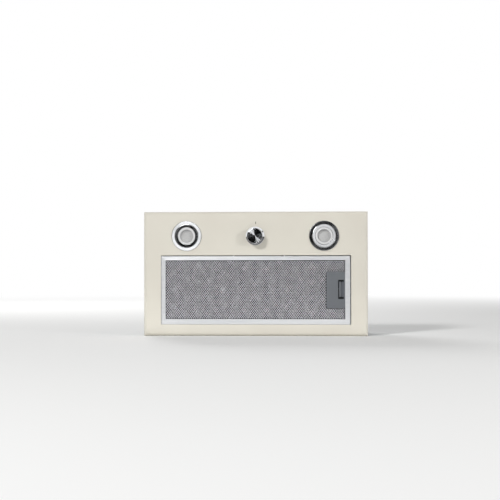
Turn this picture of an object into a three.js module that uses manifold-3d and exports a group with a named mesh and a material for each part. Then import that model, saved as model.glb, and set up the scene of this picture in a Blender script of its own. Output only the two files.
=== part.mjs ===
// A built-in range hood: an insert for a cut-out in the floor of a wall cabinet.
//
// It is drawn standing on the wall-side edge of its flange. +Z is up in that pose, the underside with
// the lamps, the selector knob and the grease filter faces -Y, and +X is to the viewer's right. In use
// the -Y face points down at the hob. Units are millimetres. Y is counted from the front skin of the
// face panel, and the finished hood is moved so that the origin lies under the middle of its box.

import * as THREE from 'three';
import { mergeVertices } from 'three/addons/utils/BufferGeometryUtils.js';
import Module from 'manifold-3d';

const wasm = await Module();
wasm.setup();

// ---------------------------------------------------------------- driving dimensions

const GAP = 0.3; // clearance between pieces that seat on or run in each other
const ROUND = 28; // facets around a turned piece that shows
const HIDDEN = 20; // facets around a turned piece inside the housing
const WIDE = 24; // facets around the motor's case and what fits in it
const SMALL = 12; // facets around a screw, a pin and their holes

const PANEL = { width: 520, height: 288, sheet: 1, bend: 9, depth: 12, lip: 9 };
const OPENING = { half: 219.5, bottom: 26, top: 186.4, fold: 7 };
const CONTROL_Z = 231.7; // height of the lamp and knob centres
const LAMP_X = 159.4;

const HOUSING = { half: 247, bottom: 14, top: 274, front: 1.3, back: 165.2, sheet: 0.8 };
const FRONT_FLANGE = 10; // width of the fold that lies against the back of the panel
const END_TAB = 12; // width of the folds that join the long walls to the end walls
const TOP_FOLD = 12; // depth of the top plate's folds inside the walls

const BLOWER = { y: 99, z: 100 }; // the impeller's axis, which runs along X
const SCROLL = { wall: 2, half: 50, start: 60.5, end: 81, cutoff: 21, inlet: 44 };
const SCROLL_FROM = THREE.MathUtils.degToRad(-22); // cut-off angle, from +Y towards -Z
const SCROLL_TO = THREE.MathUtils.degToRad(270);
const WHEEL = { outer: 56, inner: 45, half: 46, blades: 20 };
const HUB = { barrel: 7, flange: 14 };
const SHAFT_R = 3;
const BORE = SHAFT_R + GAP; // of what turns on or with a shaft
const MOTOR = { front: -68, length: 60.3, radius: 40, wall: 1.5 };
const MOTOR_BACK = MOTOR.front - MOTOR.length;
const BEARING = { outer: 8, width: 6 };

const OUTLET = { z: 150, inner: 73, outer: 75, length: 25, plate: 88, screw: 80, pin: 9 };
const FLAP = { radius: 71.3, half: 0.6, clear: 3.8, knuckle: 3.2 };

const LAMP = { outer: 34.8, hole: 29.6, ring: 27.2, lens: 20, cup: 16.5, barrel: 7, can: 36, canOuter: 29 };
const KNOB = { radius: 18.4, front: -20, back: -4.8, skirt: 22 };

const FILTER = { left: -218.7, right: 217.9, bottom: 26.6, top: 185.4, front: 0.8, back: 9.8, sheet: 1 };
const MESH_WINDOW = { left: -208.7, right: 206.4, bottom: 39.1, top: 175.4 };
const LATCH = { left: 164.5, right: 206.1, bottom: 64.2, top: 148.5 };
const POCKET = { left: 172, bottom: 78, top: 138, back: 7.6 };
const FINGER_SLOT = { left: 189.8, right: 203.8, bottom: 85.5, top: 129.9 };
const LIP = { x0: 192.6, x1: 196, front: 2.2, z0: 90, z1: 126 };
const TONGUE = { x0: 206, x1: 219.1, y0: 5, y1: 6.2, z0: 92, z1: 124 };

const SHIFT_Y = -(KNOB.front + HOUSING.back + GAP + OUTLET.length) / 2;

// ---------------------------------------------------------------- materials

const finish = (color, roughness, metalness) => ({ color, roughness, metalness });
const ENAMEL = finish(0xdedacc, 0.45, 0);
const GALVANISED = finish(0xb7bbbd, 0.5, 0.85);
const ALUMINIUM = finish(0xcfd1d3, 0.35, 0.9);
const CHROME = finish(0xe4e6e8, 0.08, 1);
const STEEL = finish(0x8d9093, 0.4, 0.9);
const BLACK_PLASTIC = finish(0x26272a, 0.5, 0);
const GREY_PLASTIC = finish(0x74787c, 0.55, 0);
const WHITE_PLASTIC = finish(0xe6e6e2, 0.45, 0);
const COPPER = finish(0xa9673b, 0.45, 0.8);
const LENS = finish(0xe1e4e4, 0.2, 0);
const BOARD = finish(0xd8dbd6, 0.5, 0);

// ---------------------------------------------------------------- shape helpers

// The same surface with shared corners merged, slivers dropped and its faces pointing out.
function closed(geometry) {
  const bare = new THREE.BufferGeometry();
  bare.setAttribute('position', geometry.getAttribute('position').clone());
  bare.setIndex(geometry.index ? geometry.index.clone() : null);
  const merged = mergeVertices(bare, 1e-4);
  const position = merged.getAttribute('position');
  const corner = (i) => new THREE.Vector3().fromBufferAttribute(position, i);
  const faces = [];
  let volume = 0;
  for (let i = 0; i < merged.index.count; i += 3) {
    const [a, b, c] = [0, 1, 2].map((k) => merged.index.getX(i + k));
    if (a !== b && b !== c && c !== a) {
      faces.push([a, b, c]);
      volume += corner(a).dot(corner(b).cross(corner(c)));
    }
  }
  merged.setIndex(faces.flatMap(([a, b, c]) => (volume > 0 ? [a, b, c] : [a, c, b])));
  merged.computeVertexNormals();
  return merged;
}

function toSolid(geometry) {
  const mesh = closed(geometry);
  return new wasm.Manifold(new wasm.Mesh({
    numProp: 3,
    vertProperties: new Float32Array(mesh.getAttribute('position').array),
    triVerts: new Uint32Array(mesh.index.array),
  }));
}

function toGeometry(manifold) {
  const mesh = manifold.getMesh();
  const geometry = new THREE.BufferGeometry();
  geometry.setAttribute('position', new THREE.BufferAttribute(mesh.vertProperties, 3));
  geometry.setIndex(new THREE.BufferAttribute(mesh.triVerts, 1));
  geometry.computeVertexNormals();
  return geometry;
}

const join = (...pieces) => toGeometry(pieces.map(toSolid).reduce((a, b) => a.add(b)));
const cut = (body, ...tools) => toGeometry(
  tools.map(toSolid).reduce((a, b) => a.subtract(b), toSolid(body)));

function box(x0, x1, y0, y1, z0, z1) {
  const size = [Math.abs(x1 - x0), Math.abs(y1 - y0), Math.abs(z1 - z0)];
  return new THREE.BoxGeometry(...size).translate((x0 + x1) / 2, (y0 + y1) / 2, (z0 + z1) / 2);
}

// A solid turned about the Y axis from [radius, y] points. The outline ends on the axis or closes itself.
function turned(outline, segments = ROUND) {
  const points = outline.map(([r, y]) => new THREE.Vector2(r, y));
  if (outline[0][0] > 0) points.push(points[0].clone());
  return closed(new THREE.LatheGeometry(points, segments));
}

// The same about the X axis, from [radius, x] points.
const turnedX = (outline, segments = HIDDEN) => turned(outline, segments).rotateZ(-Math.PI / 2);

// A straight rod about the Y axis or the X axis.
const rod = (r, y0, y1, segments) => turned([[0, y0], [r, y0], [r, y1], [0, y1]], segments);
const rodX = (r, x0, x1, segments) => turnedX([[0, x0], [r, x0], [r, x1], [0, x1]], segments);

const tube = (r0, r1, y0, y1, segments) => turned([[r0, y0], [r1, y0], [r1, y1], [r0, y1]], segments);
const tubeX = (r0, r1, x0, x1, segments) => turnedX([[r0, x0], [r1, x0], [r1, x1], [r0, x1]], segments);

// A hexagonal nut about the Y axis, with a round bore.
const nut = (corner, bore, y0, y1) => cut(rod(corner, y0, y1, 6), rod(bore, y0 - 1, y1 + 1, HIDDEN));

const rectangle = (x0, x1, z0, z1) => new THREE.Shape([
  new THREE.Vector2(x0, z0), new THREE.Vector2(x1, z0), new THREE.Vector2(x1, z1), new THREE.Vector2(x0, z1),
]);

// Points on an arc about (x, z), counted anticlockwise from +X, both ends included.
const arcPoints = (x, z, r, from, to, steps) => Array.from({ length: steps + 1 }, (_, i) => {
  const angle = from + ((to - from) * i) / steps;
  return new THREE.Vector2(x + r * Math.cos(angle), z + r * Math.sin(angle));
});
const circle = (x, z, r, facets = ROUND) => new THREE.Path(
  arcPoints(x, z, r, 0, 2 * Math.PI, facets).slice(1));

// A flat plate from y0 to y1 whose outline and holes lie in the XZ plane.
function plate(outline, holes, y0, y1) {
  outline.holes = holes;
  const options = { depth: y1 - y0, bevelEnabled: false };
  return new THREE.ExtrudeGeometry(outline, options).rotateX(Math.PI / 2).translate(0, y1, 0);
}

// A prism from x0 to x1 whose outline lies in the YZ plane.
function prismX(outline, x0, x1) {
  const toYZ = new THREE.Matrix4().makeBasis(
    new THREE.Vector3(0, 1, 0), new THREE.Vector3(0, 0, 1), new THREE.Vector3(1, 0, 0));
  const options = { depth: x1 - x0, bevelEnabled: false };
  return new THREE.ExtrudeGeometry(outline, options).applyMatrix4(toYZ).translate(x0, 0, 0);
}

// A ring with mitred corners around a rectangle in the XZ plane. Its section is a list of [inset, y]
// points, the inset counted inwards from the rectangle's edge. A four-sided turned ring has such
// corners already, and each of them is then moved out to its own corner of the rectangle.
function mitredRing(section, width, height) {
  const half = 40; // half side of the small square ring that is turned first
  const ring = turned(section.map(([inset, y]) => [(half - inset) * Math.SQRT2, y]), 4).rotateY(Math.PI / 4);
  const position = ring.getAttribute('position');
  for (let i = 0; i < position.count; i += 1) {
    const [x, z] = [position.getX(i), position.getZ(i)];
    position.setX(i, x + Math.sign(x) * (width / 2 - half));
    position.setZ(i, z + Math.sign(z) * (height / 2 - half));
  }
  return ring;
}

// A coil along X of round wire, for a compression spring.
function coilX(x0, x1, radius, wire, turns) {
  class Helix extends THREE.Curve {
    getPoint(t, target = new THREE.Vector3()) {
      const angle = 2 * Math.PI * turns * t;
      const x = x0 + wire + t * (x1 - x0 - 2 * wire);
      return target.set(x, radius * Math.cos(angle), radius * Math.sin(angle));
    }
  }
  const section = new THREE.Shape(arcPoints(0, 0, wire, 0, 2 * Math.PI, 6).slice(1));
  return closed(new THREE.ExtrudeGeometry(section, { steps: turns * 9, extrudePath: new Helix() }));
}

// ---------------------------------------------------------------- the scene graph

const hood = new THREE.Group();
hood.position.y = SHIFT_Y;

// Adds one named piece, with a material of its own, to a group of the hood.
function add(group, name, geometry, look) {
  const mesh = new THREE.Mesh(closed(geometry), new THREE.MeshStandardMaterial(look));
  mesh.name = name;
  group.add(mesh);
  return mesh;
}

function groupAt(x, y, z, parent = hood) {
  const group = new THREE.Group();
  group.position.set(x, y, z);
  parent.add(group);
  return group;
}

// ---------------------------------------------------------------- face panel

// A quarter bend of the panel's rim, of radius r about its centre at [bend, bend].
function bendArc(r, from, to) {
  const steps = 6;
  return Array.from({ length: steps + 1 }, (_, i) => {
    const angle = (from + ((to - from) * i) / steps) * (Math.PI / 2);
    return [PANEL.bend - r * Math.sin(angle), PANEL.bend - r * Math.cos(angle)];
  });
}

// One pressed and painted sheet: a flat face, a rounded rim bent back all round and a lip folded in
// behind it, which seats on the cabinet. The filter opening has its edges folded back, apart from the
// left edge, behind which the filter's tabs hook.
function facePanel() {
  const { width, height, sheet, bend, depth, lip } = PANEL;
  const overlap = 2; // how far the rim's section runs into the flat face, to join it
  const section = [
    [bend + overlap, 0], ...bendArc(bend, 0, 1), [0, depth], [lip, depth], [lip, depth - sheet],
    [sheet, depth - sheet], ...bendArc(bend - sheet, 1, 0), [bend + overlap, sheet],
  ];
  const rim = mitredRing(section, width, height).translate(0, 0, height / 2);
  const edge = bend + overlap / 2;
  const face = plate(
    rectangle(edge - width / 2, width / 2 - edge, edge, height - edge),
    [
      rectangle(-OPENING.half, OPENING.half, OPENING.bottom, OPENING.top),
      circle(-LAMP_X, CONTROL_Z, LAMP.hole), circle(LAMP_X, CONTROL_Z, LAMP.hole),
      circle(0, CONTROL_Z, SHAFT_R + 2 + GAP, HIDDEN),
    ],
    0, sheet);
  const { half, bottom, top, fold } = OPENING;
  return join(
    rim, face,
    box(-half, half + sheet, 0, fold, top, top + sheet),
    box(-half, half + sheet, 0, fold, bottom - sheet, bottom),
    box(half, half + sheet, 0, fold, bottom - sheet, top + sheet));
}

add(hood, 'face_panel', facePanel(), ENAMEL);

// ---------------------------------------------------------------- housing

// The walls are folded sheets. The two long walls carry a front flange, which is welded to the back of
// the panel, and end tabs. The end walls close the sides, and the top plate sits inside all four.
const WALL_BACK = HOUSING.back - HOUSING.sheet - GAP;
const LONG_HALF = HOUSING.half - HOUSING.sheet - GAP;

function longWall(z, inward) {
  const { front, sheet } = HOUSING;
  const relief = 4; // how far the end tabs stop short of the wall's front and back
  const [y0, y1] = [front + relief, WALL_BACK - relief];
  const tabs = [-1, 1].map(
    (side) => box(side * LONG_HALF, side * (LONG_HALF - sheet), y0, y1, z, z + inward * END_TAB));
  return join(
    box(-LONG_HALF, LONG_HALF, front, WALL_BACK, z, z + inward * sheet),
    box(-LONG_HALF, LONG_HALF, front, front + sheet, z, z + inward * FRONT_FLANGE),
    ...tabs);
}

function endWall(side) {
  const { half, bottom, top, front, sheet } = HOUSING;
  const inset = FRONT_FLANGE + 2 * GAP;
  return join(
    box(side * half, side * (half - sheet), front, WALL_BACK, bottom, top),
    box(side * half, side * (half - FRONT_FLANGE), front, front + sheet, bottom + inset, top - inset));
}

const GLAND = { x: -180, z: 150, head: 14, radius: 9, bore: 5 };
const outletScrews = [-1, 1].flatMap((sx) => [-1, 1].map((sz) => [sx * OUTLET.screw, sz * OUTLET.screw]));
const SCREW_HOLE = 2;

function topPlate() {
  const { half, bottom, top, back, sheet } = HOUSING;
  const flat = plate(
    rectangle(-half, half, bottom, top),
    [
      circle(0, OUTLET.z, OUTLET.inner - 1), circle(GLAND.x, GLAND.z, GLAND.radius + GAP, HIDDEN),
      ...outletScrews.map(([x, z]) => circle(x, OUTLET.z + z, SCREW_HOLE, SMALL)),
    ],
    back - sheet, back);
  const foldX = LONG_HALF - sheet - GAP;
  const low = bottom + sheet + GAP;
  const high = top - sheet - GAP;
  const [y0, y1] = [back - TOP_FOLD, back - sheet / 2];
  const notch = 1; // the folds stop short of each other at the corners
  return join(
    flat,
    box(-foldX, -foldX + sheet, y0, y1, low + notch, high - notch),
    box(foldX - sheet, foldX, y0, y1, low + notch, high - notch),
    box(notch - foldX, foldX - notch, y0, y1, low, low + sheet),
    box(notch - foldX, foldX - notch, y0, y1, high - sheet, high));
}

// A leaf that springs out over the edge of the cabinet's cut-out, and holds the hood while it is screwed in.
function sideSpring(side) {
  const x = HOUSING.half + GAP;
  const [sheet, reach, tip, root, end, width] = [0.8, 9.5, 38, 98, 130, 30];
  const shape = new THREE.Shape([
    [x, end], [x, root], [x + reach, tip], [x + reach + sheet, tip], [x + sheet, root], [x + sheet, end],
  ].map(([px, py]) => new THREE.Vector2(px, py)));
  const leaf = new THREE.ExtrudeGeometry(shape, { depth: width, bevelEnabled: false });
  return leaf.translate(0, 0, -width / 2).scale(side, 1, 1);
}

add(hood, 'housing_rear_wall', longWall(HOUSING.bottom, 1), GALVANISED);
add(hood, 'housing_front_wall', longWall(HOUSING.top, -1), GALVANISED);
add(hood, 'housing_left_wall', endWall(-1), GALVANISED);
add(hood, 'housing_right_wall', endWall(1), GALVANISED);
add(hood, 'housing_top_plate', topPlate(), GALVANISED);
const housingMiddle = groupAt(0, 0, (HOUSING.bottom + HOUSING.top) / 2);
add(housingMiddle, 'side_spring_left', sideSpring(-1), STEEL);
add(housingMiddle, 'side_spring_right', sideSpring(1), STEEL);

// ---------------------------------------------------------------- cable gland

const gland = groupAt(GLAND.x, HOUSING.back, GLAND.z);
add(gland, 'cable_gland', turned([
  [GLAND.bore, -8], [GLAND.radius, -8], [GLAND.radius, GAP], [GLAND.head, GAP], [GLAND.head, 6],
  [GLAND.head - 3, 7], [GLAND.head - 3, 15], [GLAND.bore, 15],
], HIDDEN), BLACK_PLASTIC);
add(gland, 'cable_gland_nut', nut(GLAND.head, GLAND.radius + GAP, -6.5, -HOUSING.sheet - GAP), BLACK_PLASTIC);

// ---------------------------------------------------------------- outlet collar and backdraught flaps

const outlet = groupAt(0, HOUSING.back + GAP, OUTLET.z);
const COLLAR_SHEET = 1.5;
const PIN_R = 1.5;

function outletCollar() {
  const { inner, outer, length, plate: half } = OUTLET;
  const flange = plate(
    rectangle(-half, half, -half, half),
    [circle(0, 0, (inner + outer) / 2), ...outletScrews.map(([x, z]) => circle(x, z, SCREW_HOLE, SMALL))],
    0, COLLAR_SHEET);
  const bead = length - 7;
  const spigot = turned([
    [inner, 0], [outer, 0], [outer, bead], [outer + 1, bead + 1], [outer + 1, bead + 2], [outer, bead + 3],
    [outer, length], [inner, length],
  ]);
  return join(flange, spigot);
}

// Half a disc with two knuckles that ride on the pin. The two flaps' knuckles interleave along it.
function damperFlap(side, spans) {
  const { radius, half, clear, knuckle } = FLAP;
  const reach = Math.acos(clear / radius);
  const leaf = plate(new THREE.Shape(arcPoints(0, 0, radius, -reach, reach, ROUND / 2)), [], -half, half);
  const hinges = spans.flatMap(([z0, z1]) => [
    tube(PIN_R + GAP, knuckle, 0, z1 - z0, SMALL).rotateX(Math.PI / 2).translate(0, 0, z0),
    box(knuckle - 0.6, clear + 2, -half, half, z0, z1),
  ]);
  const flap = join(leaf, ...hinges);
  return side < 0 ? flap.scale(-1, 1, 1) : flap;
}

add(outlet, 'outlet_collar', outletCollar(), BLACK_PLASTIC);
const pinHalf = OUTLET.inner * Math.cos(Math.PI / ROUND) - GAP;
const flaps = groupAt(0, OUTLET.pin, 0, outlet);
add(flaps, 'flap_pin', rod(PIN_R, -pinHalf, pinHalf, SMALL).rotateX(Math.PI / 2), STEEL);
add(flaps, 'damper_flap_right', damperFlap(1, [[-60, -35], [10, 35]]), GREY_PLASTIC);
add(flaps, 'damper_flap_left', damperFlap(-1, [[-30, -5], [40, 65]]), GREY_PLASTIC);
outletScrews.forEach(([x, z], i) => {
  const [tip, shank, head, seat] = [-5, 1.6, 3.4, COLLAR_SHEET + GAP];
  const screw = turned([
    [0, tip], [shank, tip + 1], [shank, seat], [head, seat], [head - 0.2, seat + 1.6], [0, seat + 2],
  ], SMALL);
  add(outlet, `outlet_screw_${i + 1}`, screw, STEEL).position.set(x, 0, z);
});

// ---------------------------------------------------------------- blower

const blower = groupAt(0, BLOWER.y, BLOWER.z);

// The space swept by the scroll, grown by an offset: the spiral itself, the circle inside it and the
// straight duct that leaves towards +Y. Angles run from +Y towards -Z, the way the air turns.
function scrollSpace(offset, x0, x1, outletY) {
  const steps = 20;
  const spiral = Array.from({ length: steps + 1 }, (_, i) => {
    const share = i / steps;
    const angle = SCROLL_FROM + (SCROLL_TO - SCROLL_FROM) * share;
    const r = SCROLL.start + (SCROLL.end - SCROLL.start) * share + offset;
    return new THREE.Vector2(r * Math.cos(angle), -r * Math.sin(angle));
  });
  const body = prismX(new THREE.Shape([new THREE.Vector2(0, 0), ...spiral]), x0, x1);
  const core = rodX(SCROLL.start + offset, x0, x1, WIDE);
  const duct = box(x0, x1, 0, outletY, SCROLL.cutoff - offset, SCROLL.end + offset);
  return join(body, core, duct);
}

// One half of the scroll casing, split at the wheel's middle plane, with its inlet bell and the flange
// that screws to the underside of the top plate.
function scrollShell(side) {
  const { wall, half, end, cutoff, inlet } = SCROLL;
  const split = GAP / 2;
  const outletY = WALL_BACK - BLOWER.y;
  const rim = 10; // width of the outlet flange around the duct
  const casing = join(
    scrollSpace(wall, split, half + wall, outletY),
    box(split, half + rim, outletY - wall, outletY, cutoff - rim, end + rim));
  const bell = turnedX([
    [inlet, half], [inlet, half + wall + 1], [inlet + 2, half + 5], [inlet + 6, half + 6],
    [inlet + 6, half + 4.8], [inlet + 3, half + 3.6], [inlet + 2, half],
  ], WIDE);
  const hollow = cut(casing, scrollSpace(0, 0, half, outletY + 1), rodX(inlet + 1, half - 1, half + 3, WIDE));
  const shell = join(hollow, bell);
  return side < 0 ? shell.scale(-1, 1, 1) : shell;
}

// The double-inlet wheel: forward-curved blades through a middle disc, with a ring at each end.
function impeller() {
  const { outer, inner, half, blades } = WHEEL;
  const blade = new THREE.Shape([
    [inner, -0.6], [inner + 5.5, 0.6], [outer - 0.6, 4.6], [outer - 1.4, 5.4], [inner + 5, 1.9], [inner, 0.6],
  ].map(([y, z]) => new THREE.Vector2(y, z)));
  const ring = 1.2;
  const around = Array.from({ length: blades }, (_, i) => prismX(blade, -half + ring / 2, half - ring / 2)
    .rotateX((2 * Math.PI * i) / blades));
  return join(
    tubeX(HUB.barrel + GAP, outer - 1, -0.8, 0.8, blades),
    tubeX(inner + 3, outer, half - ring, half, blades),
    tubeX(inner + 3, outer, -half, -half + ring, blades),
    ...around);
}

// Half of the motor's case: a cup with a bearing seat in its end face. Its mouth points along inward.
function motorShell(face, inward) {
  const { radius, wall, length } = MOTOR;
  const depth = (length - GAP) / 2;
  const seat = BEARING.outer + GAP;
  return turnedX([
    [SHAFT_R + 1, 0], [radius, 0], [radius, depth], [radius - wall, depth], [radius - wall, wall],
    [seat + 2, wall], [seat + 2, 8.5], [seat, 8.5], [seat, wall], [SHAFT_R + 1, wall],
  ].map(([r, d]) => [r, face + inward * d]), WIDE);
}

// A ring on the motor's face with three arms, whose feet stand on the left half of the scroll.
function motorBracket() {
  const [sheet, start, end] = [2, MOTOR.front + GAP, -(SCROLL.half + SCROLL.wall + GAP)];
  const ring = tubeX(10, 42, start, start + sheet, WIDE);
  const foot = { inner: 53, outer: 59 };
  const arms = [90, 210, 330].flatMap((degrees) => [
    box(start, start + sheet, 38, foot.outer, -6, 6),
    box(start, end, foot.outer - sheet, foot.outer, -6, 6),
    box(end - sheet, end, foot.inner, foot.outer, -6, 6),
  ].map((piece) => piece.rotateX(THREE.MathUtils.degToRad(degrees))));
  return join(ring, ...arms);
}

add(blower, 'scroll_shell_left', scrollShell(-1), BLACK_PLASTIC);
add(blower, 'scroll_shell_right', scrollShell(1), BLACK_PLASTIC);
add(blower, 'impeller', impeller(), GREY_PLASTIC);
add(blower, 'impeller_hub', turnedX([
  [BORE, -9], [HUB.barrel, -9], [HUB.barrel, 1.1], [HUB.flange, 1.1], [HUB.flange, 3], [HUB.barrel, 3],
  [HUB.barrel, 9], [BORE, 9],
]), STEEL);
add(blower, 'motor_shaft', rodX(SHAFT_R, MOTOR_BACK - 6, 10, SMALL), STEEL);
add(blower, 'motor_rotor', tubeX(BORE, 21.2, MOTOR_BACK + 14, MOTOR.front - 14, WIDE), STEEL);
add(blower, 'motor_stator', tubeX(
  21.8, MOTOR.radius - MOTOR.wall - GAP, MOTOR_BACK + 15, MOTOR.front - 15, WIDE), COPPER);
add(blower, 'motor_shell_front', motorShell(MOTOR.front, -1), GALVANISED);
add(blower, 'motor_shell_rear', motorShell(MOTOR_BACK, 1), GALVANISED);
for (const [name, x] of [['front', MOTOR.front - BEARING.width - 2], ['rear', MOTOR_BACK + 2]]) {
  add(blower, `motor_bearing_${name}`, tubeX(BORE, BEARING.outer, x, x + BEARING.width, SMALL), STEEL);
}
add(blower, 'motor_bracket', motorBracket(), GALVANISED);

// ---------------------------------------------------------------- electrics on the top plate

const electrics = groupAt(0, WALL_BACK, 0); // y is counted down from the underside of the top plate

const CAPACITOR = { x: 150, y: -19.1, z: 60, radius: 16, half: 30 };
const capacitor = groupAt(CAPACITOR.x, CAPACITOR.y, CAPACITOR.z, electrics);

// A band round the capacitor's middle, on a strip that is screwed to the top plate.
function capacitorClip() {
  const inner = CAPACITOR.radius + GAP;
  const half = 10;
  return join(
    tubeX(inner, inner + 1.2, -half, half),
    box(-half, half, -CAPACITOR.y - 2, -CAPACITOR.y, -28, 8));
}
add(capacitor, 'capacitor', rodX(CAPACITOR.radius, -CAPACITOR.half, CAPACITOR.half), WHITE_PLASTIC);
add(capacitor, 'capacitor_clip', capacitorClip(), GALVANISED);

const TERMINALS = { x0: -225, x1: -135, z0: 190, z1: 250, depth: 28, wall: 1.5, lid: 2 };
function terminalBox() {
  const { x0, x1, z0, z1, depth, wall } = TERMINALS;
  return cut(
    box(x0, x1, -depth, 0, z0, z1),
    box(x0 + wall, x1 - wall, -depth - 1, -wall, z0 + wall, z1 - wall));
}
function terminalLid() {
  const { x0, x1, z0, z1, depth, lid } = TERMINALS;
  return box(x0, x1, -depth - GAP - lid, -depth - GAP, z0, z1);
}
add(electrics, 'terminal_box', terminalBox(), GREY_PLASTIC);
add(electrics, 'terminal_box_lid', terminalLid(), GREY_PLASTIC);

const DRIVER = { x0: 130, x1: 220, z0: 195, z1: 245, depth: 24 };
const driverCase = box(DRIVER.x0, DRIVER.x1, -DRIVER.depth, 0, DRIVER.z0, DRIVER.z1);
add(electrics, 'lamp_driver', driverCase, WHITE_PLASTIC);

// ---------------------------------------------------------------- lamps

// Each lamp drops into a round hole from below: a flat polished bezel, a polished ring that slopes a
// little in to the lens, a cupped lens, and behind them the board with the diodes and a closed can.
for (const [side, x] of [['left', -LAMP_X], ['right', LAMP_X]]) {
  const lamp = groupAt(x, 0, CONTROL_Z);
  const { outer, hole, ring, lens, cup, barrel, can, canOuter } = LAMP;
  add(lamp, `lamp_bezel_${side}`, turned([
    [ring + GAP, barrel], [ring + GAP, -1.9], [ring + 0.7, -2.2], [outer - 1.4, -2.2], [outer - 0.3, -1.5],
    [outer, -GAP], [hole - GAP, -GAP], [hole - GAP, barrel],
  ]), CHROME);
  add(lamp, `lamp_ring_${side}`, turned([
    [lens + GAP, -1.35], [ring - 0.3, -1.7], [ring, -1.4], [ring, barrel - 0.4], [ring - 1.5, barrel - 0.4],
    [ring - 1.5, 0], [lens + GAP, 0],
  ]), CHROME);
  add(lamp, `lamp_lens_${side}`, turned([
    [0, 4.6], [cup, 4.6], [cup, -1.3], [lens, -1.3], [lens, 0.2], [cup + 1.2, 0.2], [cup + 1.2, 5.8],
    [0, 5.8],
  ]), LENS);
  add(lamp, `lamp_board_${side}`, rod(24, 8, 9.6, HIDDEN), BOARD);
  add(lamp, `lamp_can_${side}`, turned([
    [0, can - 1], [canOuter - 1.1, can - 1], [canOuter - 1.1, barrel + GAP], [canOuter, barrel + GAP],
    [canOuter, can], [0, can],
  ], HIDDEN), ALUMINIUM);
}

// ---------------------------------------------------------------- selector knob and switch

const selector = groupAt(0, 0, CONTROL_Z);
const BUSH_R = SHAFT_R + 2;
const spindleFront = -14.6;

add(selector, 'switch_body', cut(
  join(box(-17, 17, PANEL.sheet + GAP, 24, -17, 17), rod(BUSH_R, -2.6, 3, HIDDEN)),
  rod(BORE, -4, 21, SMALL)), BLACK_PLASTIC);
add(selector, 'switch_nut', nut(8, BUSH_R + GAP, -2.5, -GAP), STEEL);
add(selector, 'switch_spindle', rod(SHAFT_R, spindleFront, 20, SMALL), STEEL);
add(selector, 'knob_skirt', turned([
  [10, -GAP], [10, -3], [KNOB.skirt - 1.2, -3], [KNOB.skirt, -1.8], [KNOB.skirt, -GAP],
]), CHROME);
add(selector, 'knob_body', turned([
  [0, spindleFront - 1.8], [BORE, spindleFront - 1.8], [BORE, -5], [8, -5], [8, -15], [15.8, -15],
  [15.8, KNOB.back],
  [KNOB.radius, KNOB.back], [KNOB.radius - 0.4, KNOB.front + 0.8], [KNOB.radius - 0.8, KNOB.front + 0.3],
  [17.5, KNOB.front + 0.3], [17.5, KNOB.front + 1.4], [0, KNOB.front + 1.4],
]), CHROME);
add(selector, 'knob_cap', rod(17.2, KNOB.front, KNOB.front + 1.1), CHROME);

// ---------------------------------------------------------------- grease filter and its latch

const filter = groupAt(0, 0, 0);

function filterFrame() {
  const { left, right, bottom, top, front, back, sheet } = FILTER;
  const window = MESH_WINDOW;
  return cut(
    box(left, right, front, back, bottom, top),
    box(left + sheet, right - sheet, front + sheet, back - sheet, bottom + sheet, top - sheet),
    box(window.left, window.right, front - 1, front + 2, window.bottom, window.top),
    box(window.left, window.right, back - 2, back + 1, window.bottom, window.top),
    box(right - 2, right + 1, TONGUE.y0 - GAP, TONGUE.y1 + GAP, TONGUE.z0 - GAP, TONGUE.z1 + GAP));
}

// A layer of the mesh pack inside the frame. A notched one makes room for the latch's pocket.
function meshLayer(y0, y1, notched) {
  const inset = FILTER.sheet + GAP;
  const layer = box(
    FILTER.left + inset, FILTER.right - inset, y0, y1, FILTER.bottom + inset, FILTER.top - inset);
  if (!notched) return layer;
  const { left, bottom, top } = POCKET;
  return cut(layer, box(left - GAP, FILTER.right, y0 - 1, y1 + 1, bottom - GAP, top + GAP));
}

// A plate over the mesh with a pocket behind it, open to the right, in which the slider runs.
function latchPlate() {
  const { left, right, bottom, top } = LATCH;
  const skin = [FILTER.front + 0.1, FILTER.front + 1.1];
  const wall = 1.2;
  const slot = FINGER_SLOT;
  return cut(
    join(
      box(left, right, ...skin, bottom, top),
      box(POCKET.left, right, skin[0] + 0.5, POCKET.back, POCKET.bottom, POCKET.top)),
    box(POCKET.left + wall, right + 1, skin[1], POCKET.back - 1, POCKET.bottom + wall, POCKET.top - wall),
    box(slot.left, slot.right, skin[0] - 1, skin[1] + 1, slot.bottom, slot.top));
}

// The finger lip and the tongue that reaches out through the frame's right side.
function latchSlider() {
  return join(
    box(LIP.x0, LIP.x1, LIP.front, TONGUE.y1, LIP.z0, LIP.z1),
    box(LIP.x0, TONGUE.x0, TONGUE.y0, TONGUE.y1, LIP.z0, LIP.z1),
    box(LIP.x0, TONGUE.x1, TONGUE.y0, TONGUE.y1, TONGUE.z0, TONGUE.z1));
}

// A bent tab on the back of the frame. Its end lies behind the left edge of the panel's opening.
function filterTab() {
  const [x0, x1, y0, y1, half] = [-224.9, -213, 4, FILTER.back + GAP + 1, 12];
  return join(
    box(x0, x1, y1 - 1, y1, -half, half),
    box(x0, x0 + 1, y0, y1, -half, half));
}

add(filter, 'filter_frame', filterFrame(), ALUMINIUM);
add(filter, 'filter_mesh_front', meshLayer(2.3, 3.5, true), ALUMINIUM);
add(filter, 'filter_mesh_core', meshLayer(3.8, 7.6, true), ALUMINIUM);
add(filter, 'filter_mesh_rear', meshLayer(7.9, 8.5, false), ALUMINIUM);
add(filter, 'latch_plate', latchPlate(), GREY_PLASTIC);
add(filter, 'latch_slider', latchSlider(), GREY_PLASTIC);
add(filter, 'latch_spring', coilX(POCKET.left + 1.2 + GAP, LIP.x0 - GAP, 1.7, 0.35, 7), STEEL)
  .position.set(0, 4.25, (LIP.z0 + LIP.z1) / 2);
add(filter, 'filter_tab_lower', filterTab(), ALUMINIUM).position.z = 62;
add(filter, 'filter_tab_upper', filterTab(), ALUMINIUM).position.z = 150;

export default hood;
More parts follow.
